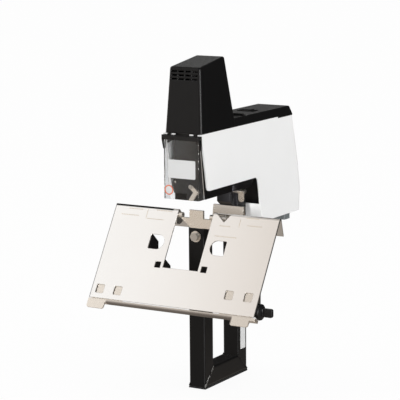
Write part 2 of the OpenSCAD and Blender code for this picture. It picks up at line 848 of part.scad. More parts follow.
module nose_block() {
    color("#3a3a3c") at_line() difference() {
        union() {
            box([-nose_half, nose_half], [nose_front, nose_back], [nose_low, nose_top]);
            box([-nose_half, nose_half], [nose_front, nose_front + nose_plate[0]],
                [nose_top, nose_top + nose_plate[1]]);
            box([-tip_half, tip_half], [-tip_len, tip_len], [tip_low, nose_low]);
        }
        for (x = [-1, 1]) translate([x * rod_spread, 0, nose_low - 1])
            cylinder(d = rod_d + 2 * running, h = nose_top);
        box([-blade_w / 2 - blade_gap, blade_w / 2 + blade_gap],
            [-blade_t / 2 - blade_gap, blade_t / 2 + blade_gap],
            [tip_low - 1, nose_top + 1]);
        box([-mag_half, mag_half], [mag_front, nose_back + 1], [tip_low - 1, mag_top]);
        box([-carrier_half - 1, carrier_half + 1], [-carrier_l - 1, nose_back + 1],
            [nose_top - pocket, nose_top + 1]);
        rod_y(latch_pin_d, nose_front - 1, nose_front + latch_pin_grip, latch_x, latch_z);
    }
}
module magazine_cover() {
    color(steel) at_line() difference() {
        box([-mag_half, mag_half], [mag_front, mag_rear], [tip_low, mag_top]);
        box([-mag_half + mag_wall, mag_half - mag_wall], [mag_front - 1, mag_rear - mag_wall],
            [tip_low - 1, mag_top - mag_wall]);
    }
}
module magazine_rail() {
    color(steel) at_line() box([-rail_half, rail_half], [mag_front, mag_rear - mag_wall],
        [tip_low, rail_top]);
}
module staple_strip() {
    inner = rail_half + clearance;
    color("#c8c8cc") at_line() difference() {
        box([-inner - wire, inner + wire], [mag_front, mag_front + strip_len],
            [strip_top - staple_h, strip_top]);
        box([-inner, inner], [mag_front - 1, mag_front + strip_len + 1],
            [strip_top - staple_h - 1, strip_top - wire]);
    }
}
module staple_pusher() {
    inner = rail_half + clearance;
    color(black) at_line() difference() {
        box([-inner - wire, inner + wire], [pusher_front, pusher_rear],
            [strip_top - staple_h, mag_top - mag_wall - clearance]);
        box([-inner, inner], [pusher_front - 1, pusher_rear + 1],
            [strip_top - staple_h - 1, rail_top + clearance]);
    }
}
module pusher_spring() {
    color(steel) at_line() translate([0, mag_rear - mag_wall, pusher_spring_z]) rotate([90, 0, 0])
        spring(pusher_spring_d, pusher_wire, pusher_turns, mag_rear - mag_wall - pusher_rear);
}
module latch_pin() {
    color(steel) at_line() {
        rod_y(latch_pin_d, nose_front - latch_t - 1, nose_front + latch_pin_grip, latch_x, latch_z);
        rod_y(latch_pin_d + latch_head, nose_front - latch_t - latch_head_t,
            nose_front - latch_t - clearance, latch_x, latch_z);
    }
}
module latch_arm(from, to) {
    translate(from) rotate(heading(to - from)) translate([0, -latch_w / 2])
        square([norm(to - from), latch_w]);
    translate(to) circle(latch_w / 2);
}
module latch_lever() {
    color(nickel) at_line() translate([latch_x, nose_front - clearance, latch_z])
        rotate([90, 0, 0]) linear_extrude(latch_t - clearance) difference() {
            union() {
                circle(latch_w / 2);
                latch_arm([0, 0], latch_elbow);
                latch_arm(latch_elbow, latch_tip);
            }
            circle(latch_pin_d / 2 + running);
        }
}

// Driver and solenoid
module driver_blade() {
    color(steel) at_line() box([-blade_w / 2, blade_w / 2], [-blade_t / 2, blade_t / 2],
        [strip_top + blade_rest, carrier_low]);
}
module driver_carrier() {
    color(steel) at_line()
        box([-carrier_half, carrier_half], [-carrier_l, carrier_l],
            [carrier_low, carrier_low + carrier_h]);
}
module plunger() {
    color(steel) at_line() rotate_extrude() polygon([[0, carrier_low + carrier_h],
        [rod_push_d / 2, carrier_low + carrier_h], [rod_push_d / 2, plunger_low],
        [plunger_d / 2, plunger_low], [plunger_d / 2, plunger_top],
        [cap_d / 2, plunger_top], [cap_d / 2, plunger_top + cap_t],
        [0, plunger_top + cap_t]]);
}
module return_spring() {
    color(steel) at_line() translate([0, 0, spring_low])
        spring(spring_d, spring_wire, spring_turns, spring_len);
}
module solenoid_coil() {
    color("#8a4a22") at_line() translate([0, 0, coil_low]) difference() {
        cylinder(d = coil_d, h = coil_h);
        translate([0, 0, -1]) cylinder(d = plunger_d + 2 * clearance, h = coil_h + 2);
    }
}
module solenoid_yoke() {
    reach = coil_d / 2 + clearance;
    color("#5a5a5c") at_line() difference() {
        union() {
            box([-yoke_half, yoke_half], [-reach - strap_t, reach + strap_t], [yoke_low, coil_low]);
            box([-yoke_half, yoke_half], [-reach - strap_t, reach + strap_t],
                [yoke_top, yoke_top + yoke_t]);
            for (y = [-reach - strap_t, reach])
                box([-yoke_half, yoke_half], [y, y + strap_t], [yoke_low, yoke_top + yoke_t]);
        }
        translate([0, 0, yoke_low - 1]) cylinder(d = rod_push_d + 4 * running, h = yoke_t + 2);
        translate([0, 0, yoke_top - 1]) cylinder(d = plunger_d + 4 * running, h = yoke_t + 2);
    }
}

// Electrics in the arm and column
module control_board() {
    half = chassis_half - chassis_t;
    top = board_z + board_t;
    color("#1f5a34") at_line() {
        box([-half, half], board_l, [board_z, top]);
        translate([relay_at[0], relay_at[1], top]) cube(relay_size);
        translate([sink_at[0], sink_at[1], top]) cube(sink_size);
        for (k = [0, 1]) translate([can_at[0], can_at[1] + k * can_pitch, top])
            cylinder(d = can_d, h = can_h);
    }
}
module transformer() {
    half = chassis_half - chassis_t;
    z0 = column_inner_low + chassis_t;
    color("#6b5f52") at_line() {
        box([core_side - half, half - core_side], core_l, [z0, z0 + core_h]);
        box([winding_side - half, half - winding_side], core_l + winding_over * [-1, 1],
            [z0, z0 + winding_h]);
    }
}

// White side covers, lofted from the plan outline at four heights
module cover_plan(i, inset) {
    r = cover_rear_r[i] - inset;
    x = cover_half - inset;
    y0 = cover_front_top - (inset > 0 ? beyond : 0);
    y1 = cover_rear[i] - inset;
    lift = i == 0 ? -inset : (i == 3 ? inset : 0);
    translate([0, 0, cover_rear_z[i] + lift]) linear_extrude(slice) {
        translate([-x, y0]) square([2 * x, y1 - r - y0]);
        translate([-x + r, y0]) square([2 * (x - r), y1 - y0]);
        for (s = [-1, 1]) translate([s * (x - r), y1 - r]) circle(r);
    }
}
module cover_loft(inset) {
    hull() for (i = [0:3]) cover_plan(i, inset);
}
function unit(v) = v / norm(v);
function half_turn(a, p, b) = acos(unit(a - p) * unit(b - p)) / 2;
function arc_centre(a, p, b, r) = p + unit(unit(a - p) + unit(b - p)) * r / sin(half_turn(a, p, b));
function tangent(a, p, b, r) = p + unit(a - p) * r / tan(half_turn(a, p, b));
function heading(v) = atan2(v[1], v[0]);
function corner(a, p, b, r) = let (c = arc_centre(a, p, b, r), from = heading(tangent(a, p, b, r) - c),
    turn = (heading(tangent(b, p, a, r) - c) - from + 540) % 360 - 180)
    [for (i = [0:corner_steps]) let (h = from + turn * i / corner_steps) c + r * [cos(h), sin(h)]];
module cover_side() {
    front = [cover_front_top, joint_z];
    low = [cover_front_low, arm_low_z];
    far = cover_rear[2] + beyond;
    polygon(concat([front], corner(front, low, column_edge[0], cover_low_r),
        corner(low, column_edge[0], column_edge[1], throat_r), [column_edge[1], column_edge[2],
        [column_edge[2][0] + 2, column_low_z - 1], [far, column_low_z - 1], [far, joint_z]]));
}
module cover_hollow() {
    far = cover_rear[2] + beyond;
    near = cover_front_top - 2 * beyond;
    polygon([[near, joint_z + beyond], [near, ledge_z], [column_edge[1][0] + wall, ledge_z],
        [column_edge[2][0] + wall, column_edge[2][1]], [column_edge[2][0] + wall + 2, column_low_z + wall],
        [far, column_low_z + wall], [far, joint_z + beyond]]);
}
module cover_pair() {
    difference() {
        intersection() {
            cover_loft(0);
            translate([-cover_half - 1, 0, 0]) rotate([90, 0, 90]) linear_extrude(cover_w + 2)
                cover_side();
        }
        intersection() {
            cover_loft(wall);
            translate([-cover_half - 1, 0, 0]) rotate([90, 0, 90]) linear_extrude(cover_w + 2)
                cover_hollow();
        }
        box([wall - cover_half, cover_half - wall], [cover_front_top - beyond, top_rear - 2 * wall],
            [joint_z - 2 * wall, joint_z + 1]);
        lid_skirt(running);
        translate([inlet_pos[0], inlet_pos[1], column_low_z - 1])
            linear_extrude(wall + 2) square(inlet_size - (neck_in - neck_gap) * [1, 1], center = true);
        translate([socket_pos[0], socket_pos[1], column_low_z - 1])
            cylinder(d = socket_d - neck_in + neck_gap, h = wall + 2);
        for (x = [-1, 1], l = cover_screw_l)
            translate([x * cover_screw_x, l, column_low_z - 1])
                cylinder(d = cover_shank + 4 * running, h = wall + 2);
    }
}
module left_cover() {
    color(white) at_line() intersection() {
        cover_pair();
        box([-cover_half - 1, 0], [cover_front_top - beyond, cover_rear[2] + beyond], [0, joint_z]);
    }
}
module right_cover() {
    color(white) at_line() intersection() {
        cover_pair();
        box([0, cover_half + 1], [cover_front_top - beyond, cover_rear[2] + beyond], [0, joint_z]);
    }
}
module cover_screws() {
    color(steel) at_line() for (x = [-1, 1], l = cover_screw_l) translate([x * cover_screw_x, l, 0]) {
        translate([0, 0, column_low_z - cover_head_h]) cylinder(d = cover_screw_d, h = cover_head_h);
        translate([0, 0, column_low_z - 1])
            cylinder(d = cover_shank, h = column_inner_low - column_low_z + 1);
    }
}

// Black top cover: tapered tower and flat arm lid in one moulding
module tower_shape(inset) {
    r = tower_r;
    top_back = tower_front_z + tower_rise;
    low = joint_z - (inset > 0 ? 1 : 0);
    hull() {
        for (x = [-1, 1]) {
            translate([x * (cover_half - inset - r), tower_base_front + inset + r, low])
                cylinder(r = r, h = slice, $fn = tower_fn);
            translate([x * (cover_half - inset - r), tower_base_rear - inset - r, low])
                cylinder(r = r, h = slice, $fn = tower_fn);
            translate([x * (tower_top_half[0] - inset - r), tower_top_front + inset + r,
                tower_front_z - inset - r])
                sphere(r, $fn = tower_fn);
            translate([x * (tower_top_half[1] - inset - r), tower_top_rear - inset - r,
                top_back - inset - r])
                sphere(r, $fn = tower_fn);
        }
    }
}
module lid_skirt(gap) {
    both() box([cover_half - wall - gap, cover_half + (gap > 0 ? 1 : 0)],
        [skirt_l - gap, gap > 0 ? cover_rear[0] + 1 : lid_foot],
        [joint_z - skirt_h - gap, joint_z + (gap > 0 ? 1 : 0.5)]);
}
module arm_lid(inset) {
    x0 = cover_half - inset;
    x1 = arm_top_half - inset + arm_edge_out;
    r = arm_edge_r;
    y0 = tower_base_rear - (inset > 0 ? 2 * beyond : beyond);
    low = joint_z - (inset > 0 ? 1 : 0);
    top = arm_top_z - inset;
    y1 = inset > 0 ? top_rear - inset : lid_foot;
    translate([0, y1, 0]) rotate([90, 0, 0]) linear_extrude(y1 - y0) {
        polygon([[-x0, low], [x0, low], [x1, top - r], [x1 - r, top], [r - x1, top], [-x1, top - r]]);
        for (s = [-1, 1]) translate([s * (x1 - r), top - r]) circle(r);
    }
}
module top_cover() {
    slot = (vent_span - (vent_cols - 1) * vent_bar) / vent_cols;
    color(black) at_line() difference() {
        union() {
            tower_shape(0);
            arm_lid(0);
            lid_skirt(0);
        }
        yz_plate([[top_rear, arm_top_z], [lid_foot, joint_z], [lid_foot, joint_z - skirt_h - 1],
            [lid_foot + 1, joint_z - skirt_h - 1], [lid_foot + 1, arm_top_z + 1], [top_rear, arm_top_z + 1]],
            -cover_half - 1, cover_half + 1);
        tower_shape(wall);
        difference() {
            arm_lid(wall);
            translate([dial_pos[0], dial_pos[1], arm_top_z - dial_sink - wall])
                cylinder(d = dial_d + 2 * wall, h = wall + dial_sink);
            box([-cover_half, cover_half], [tower_base_rear - 2 * beyond, tower_base_rear - wall],
                [0, arm_top_z]);
        }
        for (i = [0:vent_rows - 1], k = [0:vent_cols - 1])
            translate([-vent_span / 2 + k * (slot + vent_bar), tower_base_front - 1,
                tower_front_z - vent_drop - i * vent_pitch]) cube([slot, vent_reach, vent_h]);
        translate([dial_pos[0], dial_pos[1], arm_top_z - dial_sink])
            cylinder(d = dial_d, h = dial_sink + 1);
        translate([dial_pos[0], dial_pos[1], arm_top_z - spindle_len]) cylinder(d = spindle_d + 2 * running,
            h = spindle_len + 1);
        translate([rocker_pos[0], rocker_pos[1], arm_top_z - wall])
            linear_extrude(2 * wall + 2, center = true) square(rocker_size + frame_body, center = true);
    }
}
module at_rocker() { at_line() translate([rocker_pos[0], rocker_pos[1], arm_top_z]) children(); }
module rocker_frame() {
    half = rocker_size[1] / 2 + trunnion_end + clearance;
    color(black) at_rocker() difference() {
        union() {
            linear_extrude(frame_lip) square(rocker_size + frame_edge, center = true);
            translate([0, 0, -frame_depth]) linear_extrude(frame_depth)
                square(rocker_size + frame_body, center = true);
        }
        translate([0, 0, 1 - frame_depth]) linear_extrude(frame_depth + frame_lip)
            square(rocker_size + frame_play, center = true);
        rod_y(trunnion_d + 2 * running, -half, half, 0, -trunnion_drop);
    }
}
module power_rocker() {
    r = rocker_size[0] / 2;
    half = rocker_size[1] / 2;
    color("#2b2b2d") at_rocker() {
        xz_plate([[-r, rocker_ends[0][0]], [1 - r, rocker_ends[0][1]], [0, rocker_dip],
            [r - 1, rocker_ends[1][1]], [r, rocker_ends[1][0]], [rocker_foot[0], -rocker_foot[1]],
            [-rocker_foot[0], -rocker_foot[1]]], -half, half);
        rod_y(trunnion_d, -half - trunnion_end, half + trunnion_end, 0, -trunnion_drop);
    }
}
module force_dial() {
    color("#2b2b2d") at_line() translate([dial_pos[0], dial_pos[1], arm_top_z - dial_sink]) {
        translate([0, 0, clearance]) cylinder(d = dial_d - dial_rim, h = dial_h - dial_sink - clearance);
        translate([0, 0, clearance]) intersection() {
            cylinder(d = dial_d - grip_rim, h = dial_h);
            translate([-dial_d / 2, -dial_grip / 2, 0]) cube([dial_d, dial_grip, dial_h]);
        }
        translate([0, 0, -spindle_len]) cylinder(d = spindle_d, h = spindle_len + 1);
    }
}

// Clear guard on its hinge
module guard_pin() {
    color(steel) at_line() rod_x(guard_pin_d, -ear_x[1], ear_x[1], hinge_l, hinge_z);
}
module guard_carrier() {
    color(black) at_line() difference() {
        union() {
            box([-guard_half, guard_half], [carrier_front, carrier_back], [carrier_z0, hinge_z]);
            box([-guard_half, guard_half], [carrier_front, hinge_l], [carrier_z0, hinge_z + hinge_r]);
            rod_x(2 * hinge_r, -guard_half, guard_half, hinge_l, hinge_z);
        }
        rod_x(guard_pin_d + 2 * running, -guard_half - 1, guard_half + 1, hinge_l, hinge_z);
    }
}
module guard() {
    side = [[guard_front, guard_low_z], [guard_back, guard_low_z - guard_dip],
        [guard_neck, carrier_z0], [guard_front, carrier_z0]];
    color([0.35, 0.36, 0.37, 0.55]) at_line() difference() {
        yz_plate(side, -guard_half, guard_half);
        box([guard_t - guard_half, guard_half - guard_t], [guard_front + guard_t, 0],
            [guard_low_z - 10, carrier_z0 + 1]);
    }
}

// Connectors under the column
module power_inlet() {
    color("#5d6570") at_line() translate([inlet_pos[0], inlet_pos[1], column_low_z]) difference() {
        union() {
            translate([0, 0, -inlet_drop]) linear_extrude(inlet_drop)
                round_rect(inlet_size[0], inlet_size[1], inlet_r);
            linear_extrude(wall + neck_up) square(inlet_size - neck_in * [1, 1], center = true);
        }
        translate([0, 0, -inlet_drop - 1]) linear_extrude(inlet_drop)
            round_rect(inlet_size[0] - 2 * inlet_wall, inlet_size[1] - 2 * inlet_wall, inlet_r - 1);
    }
}
module pedal_socket() {
    color("#2b2b2d") at_line() translate([socket_pos[0], socket_pos[1], column_low_z]) difference() {
        union() {
            translate([0, 0, -socket_lip]) cylinder(d = socket_d, h = socket_lip);
            cylinder(d = socket_d - neck_in, h = wall + neck_up);
        }
        translate([0, 0, -socket_lip - 1]) cylinder(d = jack_d, h = jack_depth + 1);
    }
}

foot_pad();
base_bar();
front_post();
rear_post();
anvil_plate();
anvil_washer();
anvil_bolt();
pivot_lugs();
pivot_pin();
tilt_screw();
table_bracket();
bracket_screws();
saddle_table();
stop_guides();
paper_stop();
stop_screw();
stop_knob();
stop_bracket();
trigger_housing();
trigger_pin();
trigger_lever();
arm_chassis();
head_plate();
guide_rods();
nose_block();
magazine_cover();
magazine_rail();
staple_strip();
staple_pusher();
pusher_spring();
latch_pin();
latch_lever();
driver_blade();
driver_carrier();
plunger();
return_spring();
solenoid_coil();
solenoid_yoke();
control_board();
transformer();
left_cover();
right_cover();
cover_screws();
top_cover();
rocker_frame();
power_rocker();
force_dial();
guard_pin();
guard_carrier();
guard();
power_inlet();
pedal_socket();
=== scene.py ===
import json
import math

import bmesh
import bpy
from mathutils import Matrix, Vector

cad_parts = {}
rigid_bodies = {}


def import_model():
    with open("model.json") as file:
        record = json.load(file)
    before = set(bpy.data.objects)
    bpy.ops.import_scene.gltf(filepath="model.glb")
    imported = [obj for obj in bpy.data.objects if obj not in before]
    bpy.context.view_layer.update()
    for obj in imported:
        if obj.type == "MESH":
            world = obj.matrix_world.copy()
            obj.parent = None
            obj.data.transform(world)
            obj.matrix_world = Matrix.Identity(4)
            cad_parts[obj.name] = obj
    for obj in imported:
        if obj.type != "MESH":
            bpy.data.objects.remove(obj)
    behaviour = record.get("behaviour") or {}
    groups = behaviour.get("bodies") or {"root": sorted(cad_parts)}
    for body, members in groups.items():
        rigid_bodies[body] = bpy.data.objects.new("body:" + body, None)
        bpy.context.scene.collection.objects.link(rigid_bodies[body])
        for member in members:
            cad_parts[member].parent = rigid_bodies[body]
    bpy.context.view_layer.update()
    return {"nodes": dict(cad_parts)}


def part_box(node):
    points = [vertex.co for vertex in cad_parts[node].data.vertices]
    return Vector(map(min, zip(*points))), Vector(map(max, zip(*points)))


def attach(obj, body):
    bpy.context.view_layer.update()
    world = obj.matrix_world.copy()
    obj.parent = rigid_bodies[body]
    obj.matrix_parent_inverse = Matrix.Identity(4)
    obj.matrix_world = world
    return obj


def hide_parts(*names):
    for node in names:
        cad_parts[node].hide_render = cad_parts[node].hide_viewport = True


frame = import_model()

nodes = frame["nodes"]

# Photographer's view: a long lens from the operator's right, a little above the table.
# The place and the turn come from the converging edges of the head and the table.
camera_place = (1.5394, -2.6586, 0.8369)
camera_right = Vector((0.8613, 0.5081, -0.0078))
camera_up = Vector((-0.0799, 0.1505, 0.9854))
camera_turn = Matrix((camera_right, camera_up, camera_right.cross(camera_up))).transposed()
camera_data = bpy.data.cameras.new("photo_camera")
camera_data.sensor_width = 36.0
camera_data.lens = 168.86
camera_data.clip_end = 50.0
camera = bpy.data.objects.new("photo_camera", camera_data)
bpy.context.scene.collection.objects.link(camera)
camera.matrix_world = Matrix.Translation(camera_place) @ camera_turn.to_4x4()
bpy.context.scene.camera = camera

# Studio: a pale floor that the camera sees as white but for the shadow, a white surround
# that mirrors bright on the left and dim on the right, three soft lamps and a reflector.
bpy.context.scene.view_settings.view_transform = "Standard"


def add_node(tree, kind, **settings):
    """Add a shader node of this kind and set its properties."""
    node = tree.nodes.new("ShaderNode" + kind)
    for setting, value in settings.items():
        setattr(node, setting, value)
    return node


def add_fade(tree, start, end, low=0.0, high=1.0):
    """Add a node that runs from low to high while its value goes from start to end."""
    fade = add_node(tree, "MapRange")
    for socket, value in (("From Min", start), ("From Max", end), ("To Min", low), ("To Max", high)):
        fade.inputs[socket].default_value = value
    return fade


def add_reach(tree, way):
    """Add a node that measures how far a point lies along a direction."""
    reach = add_node(tree, "VectorMath", operation="DOT_PRODUCT")
    reach.inputs[1].default_value = way
    return reach


floor_size = 60.0
floor_height = -0.0005
floor_whiteness = 0.93
floor_tone = (0.92, 0.92, 0.92, 1.0)
floor_sheen_tone = (1.0, 0.9, 0.8, 1.0)
floor_bright_way = (-0.5, -0.86, 0.0)
floor_sheen_reach = (-1.2, 1.6)
floor_sheen_strength = (0.04, 0.68)
bpy.ops.object.select_all(action="DESELECT")
bpy.ops.mesh.primitive_plane_add(size=floor_size, location=(0.0, 0.0, floor_height))
floor = bpy.context.object
floor.name = "studio_floor"
bpy.ops.object.transform_apply(location=True, rotation=True, scale=True)
floor_paint = bpy.data.materials.new("studio_floor")
floor_paint.use_nodes = True
floor_tree = floor_paint.node_tree
floor_tree.nodes.clear()
floor_out = add_node(floor_tree, "OutputMaterial")
floor_mix = add_node(floor_tree, "MixShader")
floor_kind = add_node(floor_tree, "MixShader")
floor_matte = add_node(floor_tree, "BsdfDiffuse")
floor_matte.inputs["Color"].default_value = floor_tone
floor_glow = add_node(floor_tree, "Emission")
floor_glow.inputs["Strength"].default_value = 1.0
floor_sheen = add_node(floor_tree, "Emission")
floor_sheen.inputs["Color"].default_value = floor_sheen_tone
floor_rays = add_node(floor_tree, "LightPath")
floor_seen = add_node(floor_tree, "Math", operation="MAXIMUM")
floor_share = add_node(floor_tree, "Math", operation="MULTIPLY")
floor_share.inputs[1].default_value = floor_whiteness
floor_place = add_node(floor_tree, "TexCoord")
floor_side = add_reach(floor_tree, floor_bright_way)
floor_mirror = add_fade(floor_tree, *floor_sheen_reach, *floor_sheen_strength)
floor_tree.links.new(floor_rays.outputs["Is Camera Ray"], floor_seen.inputs[0])
floor_tree.links.new(floor_rays.outputs["Is Transmission Ray"], floor_seen.inputs[1])
floor_tree.links.new(floor_seen.outputs[0], floor_share.inputs[0])
floor_tree.links.new(floor_place.outputs["Object"], floor_side.inputs[0])
floor_tree.links.new(floor_side.outputs["Value"], floor_mirror.inputs["Value"])
floor_tree.links.new(floor_mirror.outputs["Result"], floor_sheen.inputs["Strength"])
floor_tree.links.new(floor_rays.outputs["Is Glossy Ray"], floor_kind.inputs[0])
floor_tree.links.new(floor_matte.outputs[0], floor_kind.inputs[1])
floor_tree.links.new(floor_sheen.outputs[0], floor_kind.inputs[2])
floor_tree.links.new(floor_share.outputs[0], floor_mix.inputs[0])
floor_tree.links.new(floor_kind.outputs[0], floor_mix.inputs[1])
floor_tree.links.new(floor_glow.outputs[0], floor_mix.inputs[2])
floor_tree.links.new(floor_mix.outputs[0], floor_out.inputs["Surface"])
floor.data.materials.append(floor_paint)

sky_dim = (0.06, 0.057, 0.054, 1.0)
sky_warm = (0.79, 0.7, 0.62, 1.0)
sky_warm_at = 0.55
sky_bright = (1.0, 1.0, 1.0, 1.0)
sky_lit = (0.84, 0.84, 0.84, 1.0)
world = bpy.data.worlds.new("studio")
world.use_nodes = True
bpy.context.scene.world = world
sky = world.node_tree
surround = sky.nodes["Background"]
surround.inputs["Strength"].default_value = 1.0
sky_rays = add_node(sky, "LightPath")
sky_place = add_node(sky, "TexCoord")
sky_amount = add_node(sky, "Math", operation="MULTIPLY")
for sky_input, (sky_way, sky_start, sky_end) in enumerate((
        ((-1.0, 0.0, 0.0), 0.35, 0.53),
        ((0.0, -1.0, 0.0), -0.25, 0.35))):
    sky_side = add_reach(sky, sky_way)
    sky_fade = add_fade(sky, sky_start, sky_end)
    sky.links.new(sky_place.outputs["Generated"], sky_side.inputs[0])
    sky.links.new(sky_side.outputs["Value"], sky_fade.inputs["Value"])
    sky.links.new(sky_fade.outputs["Result"], sky_amount.inputs[sky_input])
sky_tone = add_node(sky, "ValToRGB")
sky_tone.color_ramp.elements[0].color = sky_dim
sky_tone.color_ramp.elements[1].color = sky_bright
sky_tone.color_ramp.elements.new(sky_warm_at).color = sky_warm
sky_light = add_node(sky, "Mix", data_type="RGBA")
sky_light.inputs["A"].default_value = sky_lit
sky_seen = add_node(sky, "Math", operation="MAXIMUM")
sky_shown = add_node(sky, "Mix", data_type="RGBA")
sky_shown.inputs["B"].default_value = sky_bright
sky.links.new(sky_amount.outputs[0], sky_tone.inputs["Fac"])
sky.links.new(sky_rays.outputs["Is Glossy Ray"], sky_light.inputs["Factor"])
sky.links.new(sky_tone.outputs["Color"], sky_light.inputs["B"])
sky.links.new(sky_rays.outputs["Is Camera Ray"], sky_seen.inputs[0])
sky.links.new(sky_rays.outputs["Is Transmission Ray"], sky_seen.inputs[1])
sky.links.new(sky_seen.outputs[0], sky_shown.inputs["Factor"])
sky.links.new(sky_light.outputs["Result"], sky_shown.inputs["A"])
sky.links.new(sky_shown.outputs["Result"], surround.inputs["Color"])

lamp_aim = (0.0, 0.0, 0.3)
column_aim = (0.025, 0.22, 0.29)
for lamp_name, lamp_place, lamp_target, lamp_size, lamp_power, lamp_lights, lamp_mirrored in (
        ("key_softbox", (-1.6, -1.9, 2.3), lamp_aim, (2.4, 2.4), 14.0, True, False),
        ("side_softbox", (2.2, -0.7, 0.46), lamp_aim, (1.6, 0.9), 10.3, True, False),
        ("throat_fill", (0.024, 0.0, 0.312), column_aim, (0.018, 0.04), 0.13, True, False),
        ("edge_reflector", (1.9, -1.25, 0.4), lamp_aim, (0.9, 0.9), 48.0, False, True)):
    lamp_data = bpy.data.lights.new(lamp_name, "AREA")
    lamp_data.shape = "RECTANGLE"
    lamp_data.size, lamp_data.size_y = lamp_size
    lamp_data.energy = lamp_power
    lamp = bpy.data.objects.new(lamp_name, lamp_data)
    bpy.context.scene.collection.objects.link(lamp)
    lamp.location = lamp_place
    lamp.visible_diffuse = lamp_lights
    lamp.visible_glossy = lamp_mirrored
    lamp.visible_camera = False
    lamp.rotation_euler = (Vector(lamp_target) - lamp.location).to_track_quat("-Z", "Y").to_euler()

# Welded stand: square steel tube, mitred and welded, under a satin black powder coat that
# has worn through a little along its edges; a rubber pad is glued under the foot. The weld
# beads stand a little proud on both sides, and a bare white strip is stuck to the rear post.


def grain_group():
    """Cloudy noise that runs from Low to High over a surface, and its height for a bump."""
    cloud_range = (0.3, 0.7)
    group = bpy.data.node_groups.new("surface_grain", "ShaderNodeTree")
    for socket in ("Scale", "Low", "High"):
        group.interface.new_socket(socket, in_out="INPUT", socket_type="NodeSocketFloat")
    for socket in ("Value", "Height"):
        group.interface.new_socket(socket, in_out="OUTPUT", socket_type="NodeSocketFloat")
    enter = group.nodes.new("NodeGroupInput")
    leave = group.nodes.new("NodeGroupOutput")
    place = add_node(group, "TexCoord")
    cloud = add_node(group, "TexNoise")
    cloud.inputs["Detail"].default_value = 4.0
    spread = add_fade(group, *cloud_range)
    group.links.new(place.outputs["Object"], cloud.inputs["Vector"])
    group.links.new(enter.outputs["Scale"], cloud.inputs["Scale"])
    group.links.new(cloud.outputs["Fac"], spread.inputs["Value"])
    group.links.new(enter.outputs["Low"], spread.inputs["To Min"])
    group.links.new(enter.outputs["High"], spread.inputs["To Max"])
    group.links.new(spread.outputs["Result"], leave.inputs["Value"])
    group.links.new(cloud.outputs["Fac"], leave.inputs["Height"])
    return group


def edge_group():
    """Rounded normals along the edges, and a mask of the places where they have chipped."""
    bend_range = (0.97, 0.75)
    chip_range = (0.48, 0.62)
    group = bpy.data.node_groups.new("worn_edges", "ShaderNodeTree")
    for socket in ("Radius", "Amount"):
        group.interface.new_socket(socket, in_out="INPUT", socket_type="NodeSocketFloat")
    group.interface.new_socket("Mask", in_out="OUTPUT", socket_type="NodeSocketFloat")
    group.interface.new_socket("Normal", in_out="OUTPUT", socket_type="NodeSocketVector")
    enter = group.nodes.new("NodeGroupInput")
    leave = group.nodes.new("NodeGroupOutput")
    eased = add_node(group, "Bevel", samples=6)
    facing = add_node(group, "NewGeometry")
    agree = add_node(group, "VectorMath", operation="DOT_PRODUCT")
    bend = add_fade(group, *bend_range)
    place = add_node(group, "TexCoord")
    chips = add_node(group, "TexNoise")
    chips.inputs["Scale"].default_value = 140.0
    chips.inputs["Detail"].default_value = 6.0
    broken = add_fade(group, *chip_range)
    both = add_node(group, "Math", operation="MULTIPLY")
    strength = add_node(group, "Math", operation="MULTIPLY")
    group.links.new(enter.outputs["Radius"], eased.inputs["Radius"])
    group.links.new(eased.outputs["Normal"], agree.inputs[0])
    group.links.new(facing.outputs["Normal"], agree.inputs[1])
    group.links.new(agree.outputs["Value"], bend.inputs["Value"])
    group.links.new(place.outputs["Object"], chips.inputs["Vector"])
    group.links.new(chips.outputs["Fac"], broken.inputs["Value"])
    group.links.new(bend.outputs["Result"], both.inputs[0])
    group.links.new(broken.outputs["Result"], both.inputs[1])
    group.links.new(both.outputs[0], strength.inputs[0])
    group.links.new(enter.outputs["Amount"], strength.inputs[1])
    group.links.new(strength.outputs[0], leave.inputs["Mask"])
    group.links.new(eased.outputs["Normal"], leave.inputs["Normal"])
    return group


surface_grain = grain_group()
worn_edges = edge_group()
patina_scale = 9.0
relief_depth = 0.0002


def place_group(tree, group, **values):
    """Put a node group into a material with its own values."""
    placed = add_node(tree, "Group", node_tree=group)
    for socket, value in values.items():
        placed.inputs[socket].default_value = value
    return placed


def surface(name, *, base, worn, wear, roughness, grain, bump, rounding,
            metallic=0.0, specular=0.5, tone=(0.9, 1.1)):
    """Make a finish: a clouded base colour, worn edges, and fine grain in gloss and relief."""
    made = bpy.data.materials.new(name)
    made.use_nodes = True
    tree = made.node_tree
    shader = tree.nodes["Principled BSDF"]
    shader.inputs["Metallic"].default_value = metallic
    shader.inputs["Specular IOR Level"].default_value = specular
    patina = place_group(tree, surface_grain, Scale=patina_scale, Low=tone[0], High=tone[1])
    fine = place_group(tree, surface_grain, Scale=grain, Low=roughness[0], High=roughness[1])
    edges = place_group(tree, worn_edges, Radius=rounding, Amount=wear)
    tint = add_node(tree, "VectorMath", operation="SCALE")
    tint.inputs[0].default_value = base
    mix = add_node(tree, "Mix", data_type="RGBA")
    mix.inputs["B"].default_value = (*worn, 1.0)
    relief = add_node(tree, "Bump")
    relief.inputs["Strength"].default_value = bump
    relief.inputs["Distance"].default_value = relief_depth
    tree.links.new(patina.outputs["Value"], tint.inputs["Scale"])
    tree.links.new(tint.outputs["Vector"], mix.inputs["A"])
    tree.links.new(edges.outputs["Mask"], mix.inputs["Factor"])
    tree.links.new(mix.outputs["Result"], shader.inputs["Base Color"])
    tree.links.new(fine.outputs["Value"], shader.inputs["Roughness"])
    tree.links.new(fine.outputs["Height"], relief.inputs["Height"])
    tree.links.new(edges.outputs["Normal"], relief.inputs["Normal"])
    tree.links.new(relief.outputs["Normal"], shader.inputs["Normal"])
    return made


def dress(material, *names):
    """Give solid pieces of the frame their finish."""
    for name in names:
        nodes[name].data.materials.clear()
        nodes[name].data.materials.append(material)


